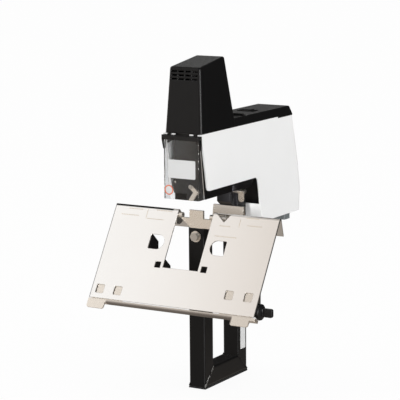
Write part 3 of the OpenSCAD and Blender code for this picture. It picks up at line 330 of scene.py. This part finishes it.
def start_block(name, low, high):
    """Start a piece as a block between two corners and open it for editing."""
    bpy.ops.object.select_all(action="DESELECT")
    bpy.ops.mesh.primitive_cube_add(size=1.0, location=[(a + b) / 2 for a, b in zip(low, high)],
                                    scale=[b - a for a, b in zip(low, high)])
    piece = bpy.context.object
    piece.name = name
    bpy.ops.object.transform_apply(location=True, rotation=True, scale=True)
    bpy.ops.object.mode_set(mode="EDIT")
    return piece


def pick(piece, kind, wanted):
    """Select the faces by middle and normal, or the edges by middle and direction."""
    bpy.ops.mesh.select_mode(type=kind)
    bpy.ops.mesh.select_all(action="DESELECT")
    mesh = bmesh.from_edit_mesh(piece.data)
    if kind == "FACE":
        for face in mesh.faces:
            face.select_set(wanted(face.calc_center_median(), face.normal))
    else:
        for edge in mesh.edges:
            first, last = (corner.co for corner in edge.verts)
            edge.select_set(wanted((first + last) / 2, (last - first).normalized()))
    bmesh.update_edit_mesh(piece.data)


def end_piece(piece, material, body):
    """Close a piece, smooth it, give it its finish and set it on its body."""
    bpy.ops.object.mode_set(mode="OBJECT")
    bpy.ops.object.shade_smooth_by_angle(angle=math.radians(35.0))
    piece.data.materials.append(material)
    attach(piece, body)
    return piece


def copy_piece(piece, name, move, body):
    """Copy a finished piece with its own mesh, moved, turned or mirrored."""
    twin = bpy.data.objects.new(name, piece.data.copy())
    twin.data.transform(move)
    if move.determinant() < 0.0:
        twin.data.flip_normals()
    bpy.context.scene.collection.objects.link(twin)
    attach(twin, body)
    return twin


black_paint = surface("black_paint", base=(0.004, 0.004, 0.0045), worn=(0.16, 0.15, 0.14), wear=0.5,
                      roughness=(0.34, 0.46), grain=900.0, bump=0.25, rounding=0.0008, specular=0.27)
rubber = surface("rubber", base=(0.012, 0.012, 0.012), worn=(0.06, 0.06, 0.06), wear=0.3,
                 roughness=(0.7, 0.85), grain=700.0, bump=0.3, rounding=0.0005)
dress(rubber, "foot_pad")
dress(black_paint, "base_bar", "front_post", "rear_post")

post_low, post_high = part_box("front_post")
post_side = post_high[0]
tube_width = 2 * post_side
bead_height = 0.0005
bead_half = 0.0018
bead_ripple = 0.0003
bead_inset = 0.0004
bead_reach = tube_width / math.sqrt(2.0) - bead_inset
weld_paint = surface("weld_paint", base=(0.006, 0.006, 0.0065), worn=(0.8, 0.79, 0.76), wear=4.0,
                     roughness=(0.3, 0.5), grain=500.0, bump=0.5, rounding=0.0016)
bead = start_block("weld_bead_front_right", (0.0, -bead_reach, -bead_half),
                   (bead_height, bead_reach, bead_half))
pick(bead, "EDGE", lambda place, way: abs(way.y) > 0.9 and place.x > bead_height / 2)
bpy.ops.mesh.bevel(offset=0.8 * bead_height, segments=3)
pick(bead, "EDGE", lambda place, way: abs(way.y) > 0.9)
bpy.ops.mesh.subdivide(number_cuts=26)
pick(bead, "FACE", lambda place, way: way.x > 0.2 and abs(place.y) < 0.95 * bead_reach)
bpy.ops.transform.vertex_random(offset=bead_ripple, seed=5)
bpy.ops.object.mode_set(mode="OBJECT")
bead.rotation_euler = (math.radians(45.0), 0.0, 0.0)
bead.location = (post_side, post_low[1] + tube_width / 2, post_low[2] + tube_width / 2)
bpy.ops.object.transform_apply(location=True, rotation=True, scale=True)
end_piece(bead, weld_paint, "stand")
for bead_name, over_x, over_y in (("weld_bead_front_left", -1, 1), ("weld_bead_rear_right", 1, -1),
                                  ("weld_bead_rear_left", -1, -1)):
    twin_bead = copy_piece(bead, bead_name, Matrix.Diagonal((over_x, over_y, 1.0, 1.0)), "stand")
    twin_bead.data.materials[0] = black_paint

strip_film = 0.0002
strip_y = (0.0485, 0.0655)
strip_z = (0.042, 0.112)
strip_corner = 0.0012
bare_label = surface("bare_label", base=(0.74, 0.745, 0.74), worn=(0.7, 0.7, 0.68), wear=0.2,
                     roughness=(0.4, 0.5), grain=1200.0, bump=0.05, rounding=0.0003, tone=(0.97, 1.03))
strip = start_block("rear_post_strip", (post_side, strip_y[0], strip_z[0]),
                    (post_side + strip_film, strip_y[1], strip_z[1]))
pick(strip, "EDGE", lambda place, way: abs(way.x) > 0.9)
bpy.ops.mesh.bevel(offset=strip_corner, segments=4)
end_piece(strip, bare_label, "stand")

# Anvil: nickel-plated steel plate held in the front post by a steel bolt with a plated
# washer, with the lugs, pin and screw that the table tilts on.
anvil_plating = surface("anvil_plating", base=(0.93, 0.88, 0.81), worn=(0.95, 0.93, 0.9), wear=0.3,
                        metallic=1.0, roughness=(0.22, 0.32), grain=900.0, bump=0.008, rounding=0.0005,
                        tone=(0.97, 1.03))
steel = surface("steel", base=(0.6, 0.58, 0.55), worn=(0.75, 0.74, 0.72), wear=0.4,
                metallic=1.0, roughness=(0.26, 0.38), grain=500.0, bump=0.06, rounding=0.0004)
dress(anvil_plating, "anvil_plate", "anvil_washer", "pivot_lugs")
dress(steel, "anvil_bolt", "tilt_screw", "pivot_pin")

# Table bracket: folded sheet under black powder coat, screwed to the front post, with two
# cheeks and two arms that the lowered table rests on.
dress(black_paint, "table_bracket")
dress(steel, "bracket_screws")

# Saddle table: one sheet of nickel-plated steel, punched and folded over the ridge. A painted dark
# reflection runs along the crest of the fold at the left, and the tone is darker towards its cut edges.
# Fine rules for the paper sizes and rows of short dashes are printed on the slope.


# Lays a tone over a finish; here it carries painted reflections, a painted sheen and the darker cut
# edges.
def overlay_tone(material, share, colour):
    """Lay a colour, or a socket that gives one, over a finish where the share is high."""
    tree = material.node_tree
    shader = tree.nodes["Principled BSDF"]
    mix = add_node(tree, "Mix", data_type="RGBA")
    tree.links.new(share, mix.inputs["Factor"])
    tree.links.new(shader.inputs["Base Color"].links[0].from_socket, mix.inputs["A"])
    if isinstance(colour, tuple):
        mix.inputs["B"].default_value = (*colour, 1.0)
    else:
        tree.links.new(colour, mix.inputs["B"])
    tree.links.new(mix.outputs["Result"], shader.inputs["Base Color"])


table_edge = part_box("saddle_table")[1][0]
ridge = Vector((0.0, -0.0675, 0.3))
slope_place = Matrix.Translation(ridge) @ Matrix.Rotation(math.radians(58.3), 4, "X")
# Painted dark reflection along the crest of the fold at the left, and a darker tone towards the cut
# edges.
fold_reflection_and_cut_edge_tone = (0.02, 0.019, 0.018)
fold_reflection_band = (ridge.z - 0.0048, ridge.z - 0.0038)
fold_reflection_end = (-0.044, -0.042)
fold_reflection_shares = (1.0, 0.35)
cut_band = (table_edge - 0.0018, table_edge - 0.0005)
cut_shares = (0.0, 0.75)
table_plating = surface("table_plating", base=(0.985, 0.972, 0.952), worn=(0.2, 0.18, 0.16), wear=0.9,
                        metallic=1.0, roughness=(0.15, 0.21), grain=900.0, bump=0.006, rounding=0.001,
                        tone=(0.99, 1.01))
table_tree = table_plating.node_tree
table_place = add_node(table_tree, "TexCoord")
table_axes = add_node(table_tree, "SeparateXYZ")
fold_reflection_line = add_fade(table_tree, *fold_reflection_band)
fold_reflection_left = add_fade(table_tree, *fold_reflection_end, *fold_reflection_shares)
fold_reflection_share = add_node(table_tree, "Math", operation="MULTIPLY")
cut_side = add_node(table_tree, "Math", operation="ABSOLUTE")
cut_edge = add_fade(table_tree, *cut_band, *cut_shares)
fold_reflection_and_cut_edge_share = add_node(table_tree, "Math", operation="MAXIMUM")
table_tree.links.new(table_place.outputs["Object"], table_axes.inputs[0])
table_tree.links.new(table_axes.outputs["Z"], fold_reflection_line.inputs["Value"])
table_tree.links.new(table_axes.outputs["X"], fold_reflection_left.inputs["Value"])
table_tree.links.new(fold_reflection_line.outputs["Result"], fold_reflection_share.inputs[0])
table_tree.links.new(fold_reflection_left.outputs["Result"], fold_reflection_share.inputs[1])
table_tree.links.new(table_axes.outputs["X"], cut_side.inputs[0])
table_tree.links.new(cut_side.outputs[0], cut_edge.inputs["Value"])
table_tree.links.new(fold_reflection_share.outputs[0], fold_reflection_and_cut_edge_share.inputs[0])
table_tree.links.new(cut_edge.outputs["Result"], fold_reflection_and_cut_edge_share.inputs[1])
overlay_tone(table_plating, fold_reflection_and_cut_edge_share.outputs[0], fold_reflection_and_cut_edge_tone)
dress(table_plating, "saddle_table")

rule_ink = surface("rule_ink", base=(0.72, 0.61, 0.46), worn=(0.75, 0.68, 0.55), wear=0.3,
                   metallic=0.4, roughness=(0.4, 0.55), grain=900.0, bump=0.1, rounding=0.0002)
ink_height = 0.00006
ink_corner = 0.0003
rule_half = 0.0004
dash_length = 0.0019
dash_half = 0.0008
dash_step = 0.0034


def printed_rule(name, across, down, count):
    """Print a rule on the slope, or a row of them, from its reach across and down."""
    rule = start_block(name, (across[0], -down[1], -ink_height), (across[1], -down[0], ink_height))
    pick(rule, "EDGE", lambda place, way: abs(way.z) > 0.9)
    bpy.ops.mesh.bevel(offset=ink_corner, segments=2)
    bpy.ops.object.mode_set(mode="OBJECT")
    row = rule.modifiers.new("row", "ARRAY")
    row.count = count
    row.use_relative_offset = False
    row.use_constant_offset = True
    row.constant_offset_displace = (dash_step, 0.0, 0.0)
    bpy.ops.object.modifier_apply(modifier="row")
    rule.data.transform(slope_place)
    end_piece(rule, rule_ink, "table")


left_rule_x = (-0.091 - rule_half, -0.091 + rule_half)
left_foot_x = (-0.089, -0.057)
right_rule_x = (0.085 - rule_half, 0.085 + rule_half)
left_rule_top = 0.006
right_rule_top = 0.009
rule_foot = 0.023
printed_rule("rule_left", left_rule_x, (left_rule_top, rule_foot), 1)
printed_rule("rule_left_foot", left_foot_x, (rule_foot - rule_half, rule_foot + rule_half), 1)
printed_rule("rule_right", right_rule_x, (right_rule_top, rule_foot), 1)
for row_number, (row_start, row_end, row_down) in enumerate((
        (-0.127, -0.099, 0.008), (-0.139, -0.106, 0.0194), (-0.074, -0.045, 0.007),
        (0.095, 0.119, 0.006), (0.1, 0.128, 0.0187), (0.05, 0.069, 0.0233), (0.046, 0.0875, 0.0414))):
    printed_rule("rule_dashes_%d" % row_number, (row_start, row_start + dash_length),
                 (row_down - dash_half, row_down + dash_half), round((row_end - row_start) / dash_step))

# Paper stop: bent plated strip with two tabs, with a painted dark reflection along its lip between
# the tabs, and a plate behind each pair of windows. Its two runners slide in guides welded under
# the table, and a wing knob on a screw clamps it.
# Painted dark reflection: the lip face between the tabs is laid over with a dark brown tone.
lip_reflection_tone = (0.2, 0.17, 0.15)
lip_way = slope_place.to_3x3() @ Vector((0.0, -1.0, 0.0))
lip_from_ridge = 0.1712
lip_start = lip_way.dot(ridge) + lip_from_ridge
lip_depth = 0.004
lip_reflection_shares = (0.0, 0.95)
tab_inside = 0.1175
tab_blend = 0.002
stop_plating = surface("stop_plating", base=(0.95, 0.885, 0.8), worn=(0.8, 0.74, 0.66), wear=0.3,
                       metallic=1.0, roughness=(0.24, 0.34), grain=900.0, bump=0.008, rounding=0.0006,
                       tone=(0.97, 1.03))
stop_tree = stop_plating.node_tree
stop_place = add_node(stop_tree, "TexCoord")
stop_axes = add_node(stop_tree, "SeparateXYZ")
lip_down = add_reach(stop_tree, lip_way)
lip_reflection_face = add_fade(stop_tree, lip_start, lip_start + lip_depth, *lip_reflection_shares)
lip_across = add_node(stop_tree, "Math", operation="ABSOLUTE")
lip_reflection_tabs = add_fade(stop_tree, tab_inside, tab_inside + tab_blend, 1.0, 0.0)
lip_reflection_share = add_node(stop_tree, "Math", operation="MULTIPLY")
stop_tree.links.new(stop_place.outputs["Object"], lip_down.inputs[0])
stop_tree.links.new(stop_place.outputs["Object"], stop_axes.inputs[0])
stop_tree.links.new(lip_down.outputs["Value"], lip_reflection_face.inputs["Value"])
stop_tree.links.new(stop_axes.outputs["X"], lip_across.inputs[0])
stop_tree.links.new(lip_across.outputs[0], lip_reflection_tabs.inputs["Value"])
stop_tree.links.new(lip_reflection_face.outputs["Result"], lip_reflection_share.inputs[0])
stop_tree.links.new(lip_reflection_tabs.outputs["Result"], lip_reflection_share.inputs[1])
overlay_tone(stop_plating, lip_reflection_share.outputs[0], lip_reflection_tone)
black_plastic = surface("black_plastic", base=(0.004, 0.004, 0.0045), worn=(0.05, 0.05, 0.05), wear=0.3,
                        roughness=(0.34, 0.46), grain=1100.0, bump=0.3, rounding=0.0014, specular=0.4)
dress(stop_plating, "paper_stop", "stop_guides")
dress(steel, "stop_screw")


def start_disc(name, radius, depth, middle, turn, corners):
    """Start a round piece as a turned disc and open it for editing."""
    bpy.ops.object.select_all(action="DESELECT")
    bpy.ops.mesh.primitive_cylinder_add(vertices=corners, radius=radius, depth=depth, rotation=turn,
                                        location=middle)
    piece = bpy.context.object
    piece.name = name
    bpy.ops.object.transform_apply(location=True, rotation=True, scale=True)
    bpy.ops.object.mode_set(mode="EDIT")
    return piece


knob_low, knob_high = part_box("stop_knob")
knob_middle = [(a + b) / 2 for a, b in zip(knob_low, knob_high)]
knob_radius = (knob_high[1] - knob_low[1]) / 2
skirt_depth = 0.0045
skirt_steps = ((0.0045, 0.0018), (0.003, 0.0012))
knob_edge = 0.0012
skirt_top = knob_low[0] + skirt_depth
wing_half = (0.003, 0.007)
wing_corner = 0.003
wing_low = (skirt_top, knob_middle[1] - wing_half[0], knob_middle[2] - wing_half[1])
wing_high = (knob_high[0], knob_middle[1] + wing_half[0], knob_middle[2] + wing_half[1])
skirt = start_disc("wing_knob", knob_radius, skirt_depth,
                   (knob_low[0] + skirt_depth / 2, knob_middle[1], knob_middle[2]),
                   turn=(0.0, math.pi / 2, 0.0), corners=64)
pick(skirt, "FACE", lambda place, way: way.x > 0.9)
for step_width, step_rise in skirt_steps:
    bpy.ops.mesh.inset(thickness=step_width)
    bpy.ops.transform.translate(value=(step_rise, 0.0, 0.0))
pick(skirt, "EDGE", lambda place, way: abs(way.x) < 0.1 and place.x > knob_low[0] + 0.9 * skirt_depth)
bpy.ops.mesh.bevel(offset=knob_edge, segments=4)
bpy.ops.object.mode_set(mode="OBJECT")
wing = start_block("wing_grip", wing_low, wing_high)
pick(wing, "EDGE", lambda place, way: abs(way.y) > 0.9 and place.x > knob_middle[0])
bpy.ops.mesh.bevel(offset=wing_corner, segments=6)
pick(wing, "EDGE", lambda place, way: abs(way.y) < 0.1 and place.x > skirt_top + 0.001
     and abs(place.y - knob_middle[1]) > 0.9 * wing_half[0])
bpy.ops.mesh.bevel(offset=knob_edge, segments=3)
bpy.ops.object.mode_set(mode="OBJECT")
bpy.ops.object.select_all(action="DESELECT")
wing.select_set(True)
skirt.select_set(True)
bpy.context.view_layer.objects.active = skirt
bpy.ops.object.join()
end_piece(skirt, black_plastic, "knob")
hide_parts("stop_knob")

# Trigger unit: plated bracket and black housing on the rear post, with a plated tongue that
# hangs in the throat and swings back when the fold of a booklet meets it.
dress(anvil_plating, "stop_bracket", "trigger_lever")
dress(steel, "trigger_pin")
dress(black_plastic, "trigger_housing")

# Arm chassis: black painted steel channel under the covers, with the guide rods and plate
# of the stapling head; four white moulded clips hold the cover's front edge on its bar.
black_oxide = surface("black_oxide", base=(0.03, 0.03, 0.032), worn=(0.3, 0.29, 0.28), wear=0.4,
                      metallic=0.6, roughness=(0.35, 0.45), grain=600.0, bump=0.1, rounding=0.0004)
white_plastic = surface("white_plastic", base=(0.9, 0.9, 0.895), worn=(0.9, 0.9, 0.9), wear=0.1,
                        roughness=(0.35, 0.45), grain=900.0, bump=0.08, rounding=0.0012,
                        tone=(0.985, 1.015))
dress(black_paint, "arm_chassis")
dress(black_oxide, "head_plate")
dress(steel, "guide_rods")
chassis_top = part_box("arm_chassis")[1][2]
clip_half = 0.0034
clip_y = (-0.1118, -0.1098)
clip_height = 0.0023
clip_edge = 0.0006
first_clip_x = -0.0319
clip = start_block("cover_clip_1", (first_clip_x - clip_half, clip_y[0], chassis_top),
                   (first_clip_x + clip_half, clip_y[1], chassis_top + clip_height))
pick(clip, "EDGE", lambda place, way: place.z > chassis_top + 0.9 * clip_height)
bpy.ops.mesh.bevel(offset=clip_edge, segments=3)
end_piece(clip, white_plastic, "stand")
for clip_number, clip_x in ((2, -0.0165), (3, 0.0167), (4, 0.0319)):
    copy_piece(clip, "cover_clip_%d" % clip_number,
               Matrix.Translation((clip_x - first_clip_x, 0.0, 0.0)), "stand")

# Stapling head: dark cast block on two rods, with the plated magazine, the driver and a
# bright spring latch; a steel rivet shows on the block's face.
dark_alloy = surface("dark_alloy", base=(0.04, 0.04, 0.041), worn=(0.3, 0.3, 0.3), wear=0.4,
                     metallic=0.3, roughness=(0.35, 0.5), grain=500.0, bump=0.1, rounding=0.0006)
dress(dark_alloy, "nose_block")
dress(steel, "magazine_cover", "magazine_rail", "staple_strip", "pusher_spring", "latch_pin",
      "driver_blade", "driver_carrier")
dress(anvil_plating, "latch_lever")
dress(black_plastic, "staple_pusher")
nose_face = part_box("nose_block")[0][1]
rivet_radius = 0.0018
rivet_height = 0.0012
rivet_crown = 0.0009
rivet_place = (-0.0218, nose_face - rivet_height / 2, 0.3508)
facing_front = (math.pi / 2, 0.0, 0.0)
rivet = start_disc("nose_rivet", rivet_radius, rivet_height, rivet_place, turn=facing_front, corners=32)
pick(rivet, "EDGE", lambda place, way: abs(way.y) < 0.1 and place.y < nose_face - 0.8 * rivet_height)
bpy.ops.mesh.bevel(offset=rivet_crown, segments=4)
end_piece(rivet, steel, "head")

# Solenoid and electrics, closed in by the covers: copper winding in an iron yoke, a small
# transformer in the column and the printed board that fires the stroke.
copper_coil = surface("copper_coil", base=(0.28, 0.1, 0.04), worn=(0.4, 0.2, 0.1), wear=0.2,
                      roughness=(0.4, 0.55), grain=600.0, bump=0.2, rounding=0.0004)
core_iron = surface("core_iron", base=(0.16, 0.16, 0.17), worn=(0.4, 0.4, 0.4), wear=0.4,
                    metallic=0.7, roughness=(0.4, 0.55), grain=600.0, bump=0.15, rounding=0.0004)
board = surface("board", base=(0.03, 0.16, 0.07), worn=(0.2, 0.25, 0.2), wear=0.2,
                roughness=(0.4, 0.5), grain=600.0, bump=0.1, rounding=0.0003)
dress(copper_coil, "solenoid_coil")
dress(core_iron, "solenoid_yoke", "plunger", "return_spring", "transformer")
dress(board, "control_board")

# Covers: two white side mouldings that meet under the arm, and the black top moulding with
# its tower, screwed from below, with a painted speckled sheen that lightens its flat top; the power
# rocker and the force dial stand in it.
# Painted sheen: faces that look up get a lighter, speckled base colour.
sheen_speckle_tones = (0.01, 0.17)
sheen_speckle_scale = 600.0
sheen_flat_range = (0.9, 0.99)
top_moulding = surface("top_moulding", base=(0.004, 0.004, 0.0045), worn=(0.05, 0.05, 0.05), wear=0.3,
                       roughness=(0.34, 0.46), grain=1100.0, bump=0.3, rounding=0.0025, specular=0.3)
top_tree = top_moulding.node_tree
top_facing = add_node(top_tree, "NewGeometry")
top_axes = add_node(top_tree, "SeparateXYZ")
top_sheen_share = add_fade(top_tree, *sheen_flat_range)
top_sheen_speckle = place_group(top_tree, surface_grain, Scale=sheen_speckle_scale, Low=sheen_speckle_tones[0],
                          High=sheen_speckle_tones[1])
top_tree.links.new(top_facing.outputs["Normal"], top_axes.inputs[0])
top_tree.links.new(top_axes.outputs["Z"], top_sheen_share.inputs["Value"])
overlay_tone(top_moulding, top_sheen_share.outputs["Result"], top_sheen_speckle.outputs["Value"])
dress(top_moulding, "top_cover")
dress(white_plastic, "left_cover", "right_cover")
dress(steel, "cover_screws")
dress(black_plastic, "rocker_frame", "power_rocker", "force_dial")

dial_low, dial_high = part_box("force_dial")
dial_middle = Vector([(a + b) / 2 for a, b in zip(dial_low, dial_high)])
dial_radius = (dial_high[1] - dial_low[1]) / 2
arm_top = 0.4445
tick_half = 0.0004
tick_film = 0.00008
tick_corner = 0.0003
tick_gap = 0.0024
tick_length = 0.002
tick_start = dial_middle.y + dial_radius + tick_gap
tick_end = tick_start + tick_length
mark_ink = surface("mark_ink", base=(0.5, 0.5, 0.49), worn=(0.6, 0.6, 0.6), wear=0.2,
                   roughness=(0.4, 0.5), grain=900.0, bump=0.1, rounding=0.0002)
tick = start_block("dial_tick_0", (dial_middle.x - tick_half, tick_start, arm_top),
                   (dial_middle.x + tick_half, tick_end, arm_top + tick_film))
pick(tick, "EDGE", lambda place, way: abs(way.z) > 0.9)
bpy.ops.mesh.bevel(offset=tick_corner, segments=2)
end_piece(tick, mark_ink, "stand")
dial_place = Matrix.Translation(dial_middle)
for tick_number, tick_angle in enumerate((-135, -90, -45, 45, 90, 135), start=1):
    tick_turn = dial_place @ Matrix.Rotation(math.radians(tick_angle), 4, "Z") @ dial_place.inverted()
    copy_piece(tick, "dial_tick_%d" % tick_number, tick_turn, "stand")

# Guard: clear smoked plastic bent into a U and clipped into a black carrier on a steel pin,
# with a bare white label and a bare round sticker with an orange-red rim on its front.
clear_tint = (0.86, 0.87, 0.88, 1.0)
clear_plastic = bpy.data.materials.new("clear_plastic")
clear_plastic.use_nodes = True
clear_tree = clear_plastic.node_tree
clear_shader = clear_tree.nodes["Principled BSDF"]
clear_shader.inputs["Base Color"].default_value = clear_tint
clear_shader.inputs["Transmission Weight"].default_value = 1.0
clear_shader.inputs["IOR"].default_value = 1.4
clear_haze = place_group(clear_tree, surface_grain, Scale=60.0, Low=0.03, High=0.14)
clear_relief = add_node(clear_tree, "Bump")
clear_relief.inputs["Strength"].default_value = 0.03
clear_relief.inputs["Distance"].default_value = relief_depth
clear_tree.links.new(clear_haze.outputs["Value"], clear_shader.inputs["Roughness"])
clear_tree.links.new(clear_haze.outputs["Height"], clear_relief.inputs["Height"])
clear_tree.links.new(clear_relief.outputs["Normal"], clear_shader.inputs["Normal"])
dress(clear_plastic, "guard")
dress(black_plastic, "guard_carrier")
dress(steel, "guard_pin")

guard_low, guard_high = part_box("guard")
guard_front = guard_low[1]
guard_height = guard_high[2] - guard_low[2]
guard_depth = guard_high[1] - guard_front
guard_heel = (0.0, guard_high[1], guard_low[2])
guard_lean = 0.0122
guard_dip = 0.002
guard_bend = 0.002
guard_wall = 0.002
guard_edge = 0.0003
shell = start_block("guard_shell", guard_low, guard_high)
pick(shell, "FACE", lambda place, way: way.y > 0.9 or abs(way.z) > 0.9)
bpy.ops.mesh.delete(type="FACE")
pick(shell, "EDGE", lambda place, way: abs(way.z) > 0.9 and place.y < guard_front + 0.001)
bpy.ops.mesh.bevel(offset=guard_bend, segments=5)
bpy.ops.mesh.select_all(action="SELECT")
bpy.ops.mesh.bisect(plane_co=guard_heel, plane_no=(0.0, guard_height, guard_lean), clear_outer=True)
bpy.ops.mesh.select_all(action="SELECT")
bpy.ops.mesh.bisect(plane_co=guard_heel, plane_no=(0.0, guard_dip, guard_depth), clear_inner=True)
bpy.ops.object.mode_set(mode="OBJECT")
wall = shell.modifiers.new("wall", "SOLIDIFY")
wall.thickness = guard_wall
wall.offset = -1.0
wall.use_even_offset = True
bpy.ops.object.modifier_apply(modifier="wall")
eased = shell.modifiers.new("eased", "BEVEL")
eased.width = guard_edge
eased.segments = 2
eased.angle_limit = math.radians(50.0)
bpy.ops.object.modifier_apply(modifier="eased")
end_piece(shell, clear_plastic, "guard")
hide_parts("guard")

label_x = (-0.0243, 0.0266)
label_z = (0.3585, 0.3885)
label_film = 0.00025
label_corner = 0.002
label = start_block("guard_label", (label_x[0], guard_front - label_film, label_z[0]),
                    (label_x[1], guard_front, label_z[1]))
pick(label, "EDGE", lambda place, way: abs(way.y) > 0.9)
bpy.ops.mesh.bevel(offset=label_corner, segments=5)
end_piece(label, bare_label, "guard")


def open_ring(piece, axis, middle, radius, width):
    """Turn a disc into a ring: inset both ends, open them and bridge the inner edges."""
    def from_axis(place):
        gap = place - middle
        gap[axis] = 0.0
        return gap.length

    pick(piece, "FACE", lambda place, way: abs(way[axis]) > 0.9)
    bpy.ops.mesh.inset(thickness=width)
    bpy.ops.mesh.delete(type="FACE")
    pick(piece, "EDGE", lambda place, way: abs(way[axis]) < 0.1 and from_axis(place) < radius - width / 2)
    bpy.ops.mesh.bridge_edge_loops()
    bpy.ops.mesh.select_all(action="SELECT")
    bpy.ops.mesh.normals_make_consistent(inside=False)


sticker_radius = 0.0082
sticker_film = 0.0002
sticker_edge = 0.00006
sticker_rim = 0.0019
sticker_place = Vector((-0.023, guard_front - sticker_film / 2, 0.3387))
rim_lift = 0.00015
rim_place = sticker_place - Vector((0.0, rim_lift, 0.0))
sticker_red = surface("sticker_red", base=(0.78, 0.2, 0.11), worn=(0.8, 0.35, 0.25), wear=0.2,
                      roughness=(0.4, 0.5), grain=1200.0, bump=0.05, rounding=0.0003)
sticker = start_disc("guard_sticker", sticker_radius, sticker_film, sticker_place,
                     turn=facing_front, corners=64)
pick(sticker, "EDGE", lambda place, way: abs(way.y) < 0.1 and place.y < sticker_place.y)
bpy.ops.mesh.bevel(offset=sticker_edge, segments=2)
end_piece(sticker, bare_label, "guard")
rim = start_disc("guard_sticker_rim", sticker_radius, sticker_film, rim_place,
                 turn=facing_front, corners=64)
open_ring(rim, 1, rim_place, sticker_radius, sticker_rim)
end_piece(rim, sticker_red, "guard")

# Connectors under the column: a grey mains inlet with three steel blades and a black round
# socket for the foot pedal with a plated ring.
grey_plastic = surface("grey_plastic", base=(0.17, 0.19, 0.195), worn=(0.3, 0.3, 0.3), wear=0.1,
                       roughness=(0.4, 0.5), grain=900.0, bump=0.1, rounding=0.0006)
dress(grey_plastic, "power_inlet")
dress(black_plastic, "pedal_socket")
inlet_low, inlet_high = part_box("power_inlet")
inlet_x = (inlet_low[0] + inlet_high[0]) / 2
inlet_y = (inlet_low[1] + inlet_high[1]) / 2
blade_half = 0.001
blade_y = (inlet_y + 0.0015, inlet_y + 0.0055)
blade_z = (inlet_low[2] + 0.0035, inlet_low[2] + 0.0122)
blade_edge = 0.0006
blade_aside = 0.007
blade_ahead = 0.0045
blade = start_block("inlet_blade_earth", (inlet_x - blade_half, blade_y[0], blade_z[0]),
                    (inlet_x + blade_half, blade_y[1], blade_z[1]))
pick(blade, "EDGE", lambda place, way: place.z < blade_z[0] + 0.0005)
bpy.ops.mesh.bevel(offset=blade_edge, segments=3)
end_piece(blade, steel, "stand")
for blade_name, blade_shift in (("inlet_blade_left", -blade_aside), ("inlet_blade_right", blade_aside)):
    copy_piece(blade, blade_name, Matrix.Translation((blade_shift, -blade_ahead, 0.0)), "stand")

socket_low, socket_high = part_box("pedal_socket")
ring_radius = 0.0068
ring_width = 0.0024
ring_depth = 0.0014
ring_edge = 0.0004
ring_place = Vector(((socket_low[0] + socket_high[0]) / 2, (socket_low[1] + socket_high[1]) / 2,
                     socket_low[2] - ring_depth / 2))
ring = start_disc("socket_ring", ring_radius, ring_depth, ring_place, turn=(0.0, 0.0, 0.0), corners=48)
open_ring(ring, 2, ring_place, ring_radius, ring_width)
pick(ring, "EDGE", lambda place, way: abs(way.z) < 0.1 and place.z < ring_place.z
     and math.hypot(place.x - ring_place.x, place.y - ring_place.y) > ring_radius - ring_width / 2)
bpy.ops.mesh.bevel(offset=ring_edge, segments=3)
end_piece(ring, steel, "stand")

# Mirror of the table: in the studio its bright metal shows the pale surround and not the dark
# head, stand and bracket, as it does in the photographed view.
unmirrored = ("arm_", "nose_", "guard", "magazine_", "latch_", "driver_", "staple_", "pusher_",
              "table_br", "front_", "base_", "rear_", "foot")
for piece in bpy.context.scene.objects:
    if piece.name.startswith(unmirrored):
        piece.visible_glossy = False
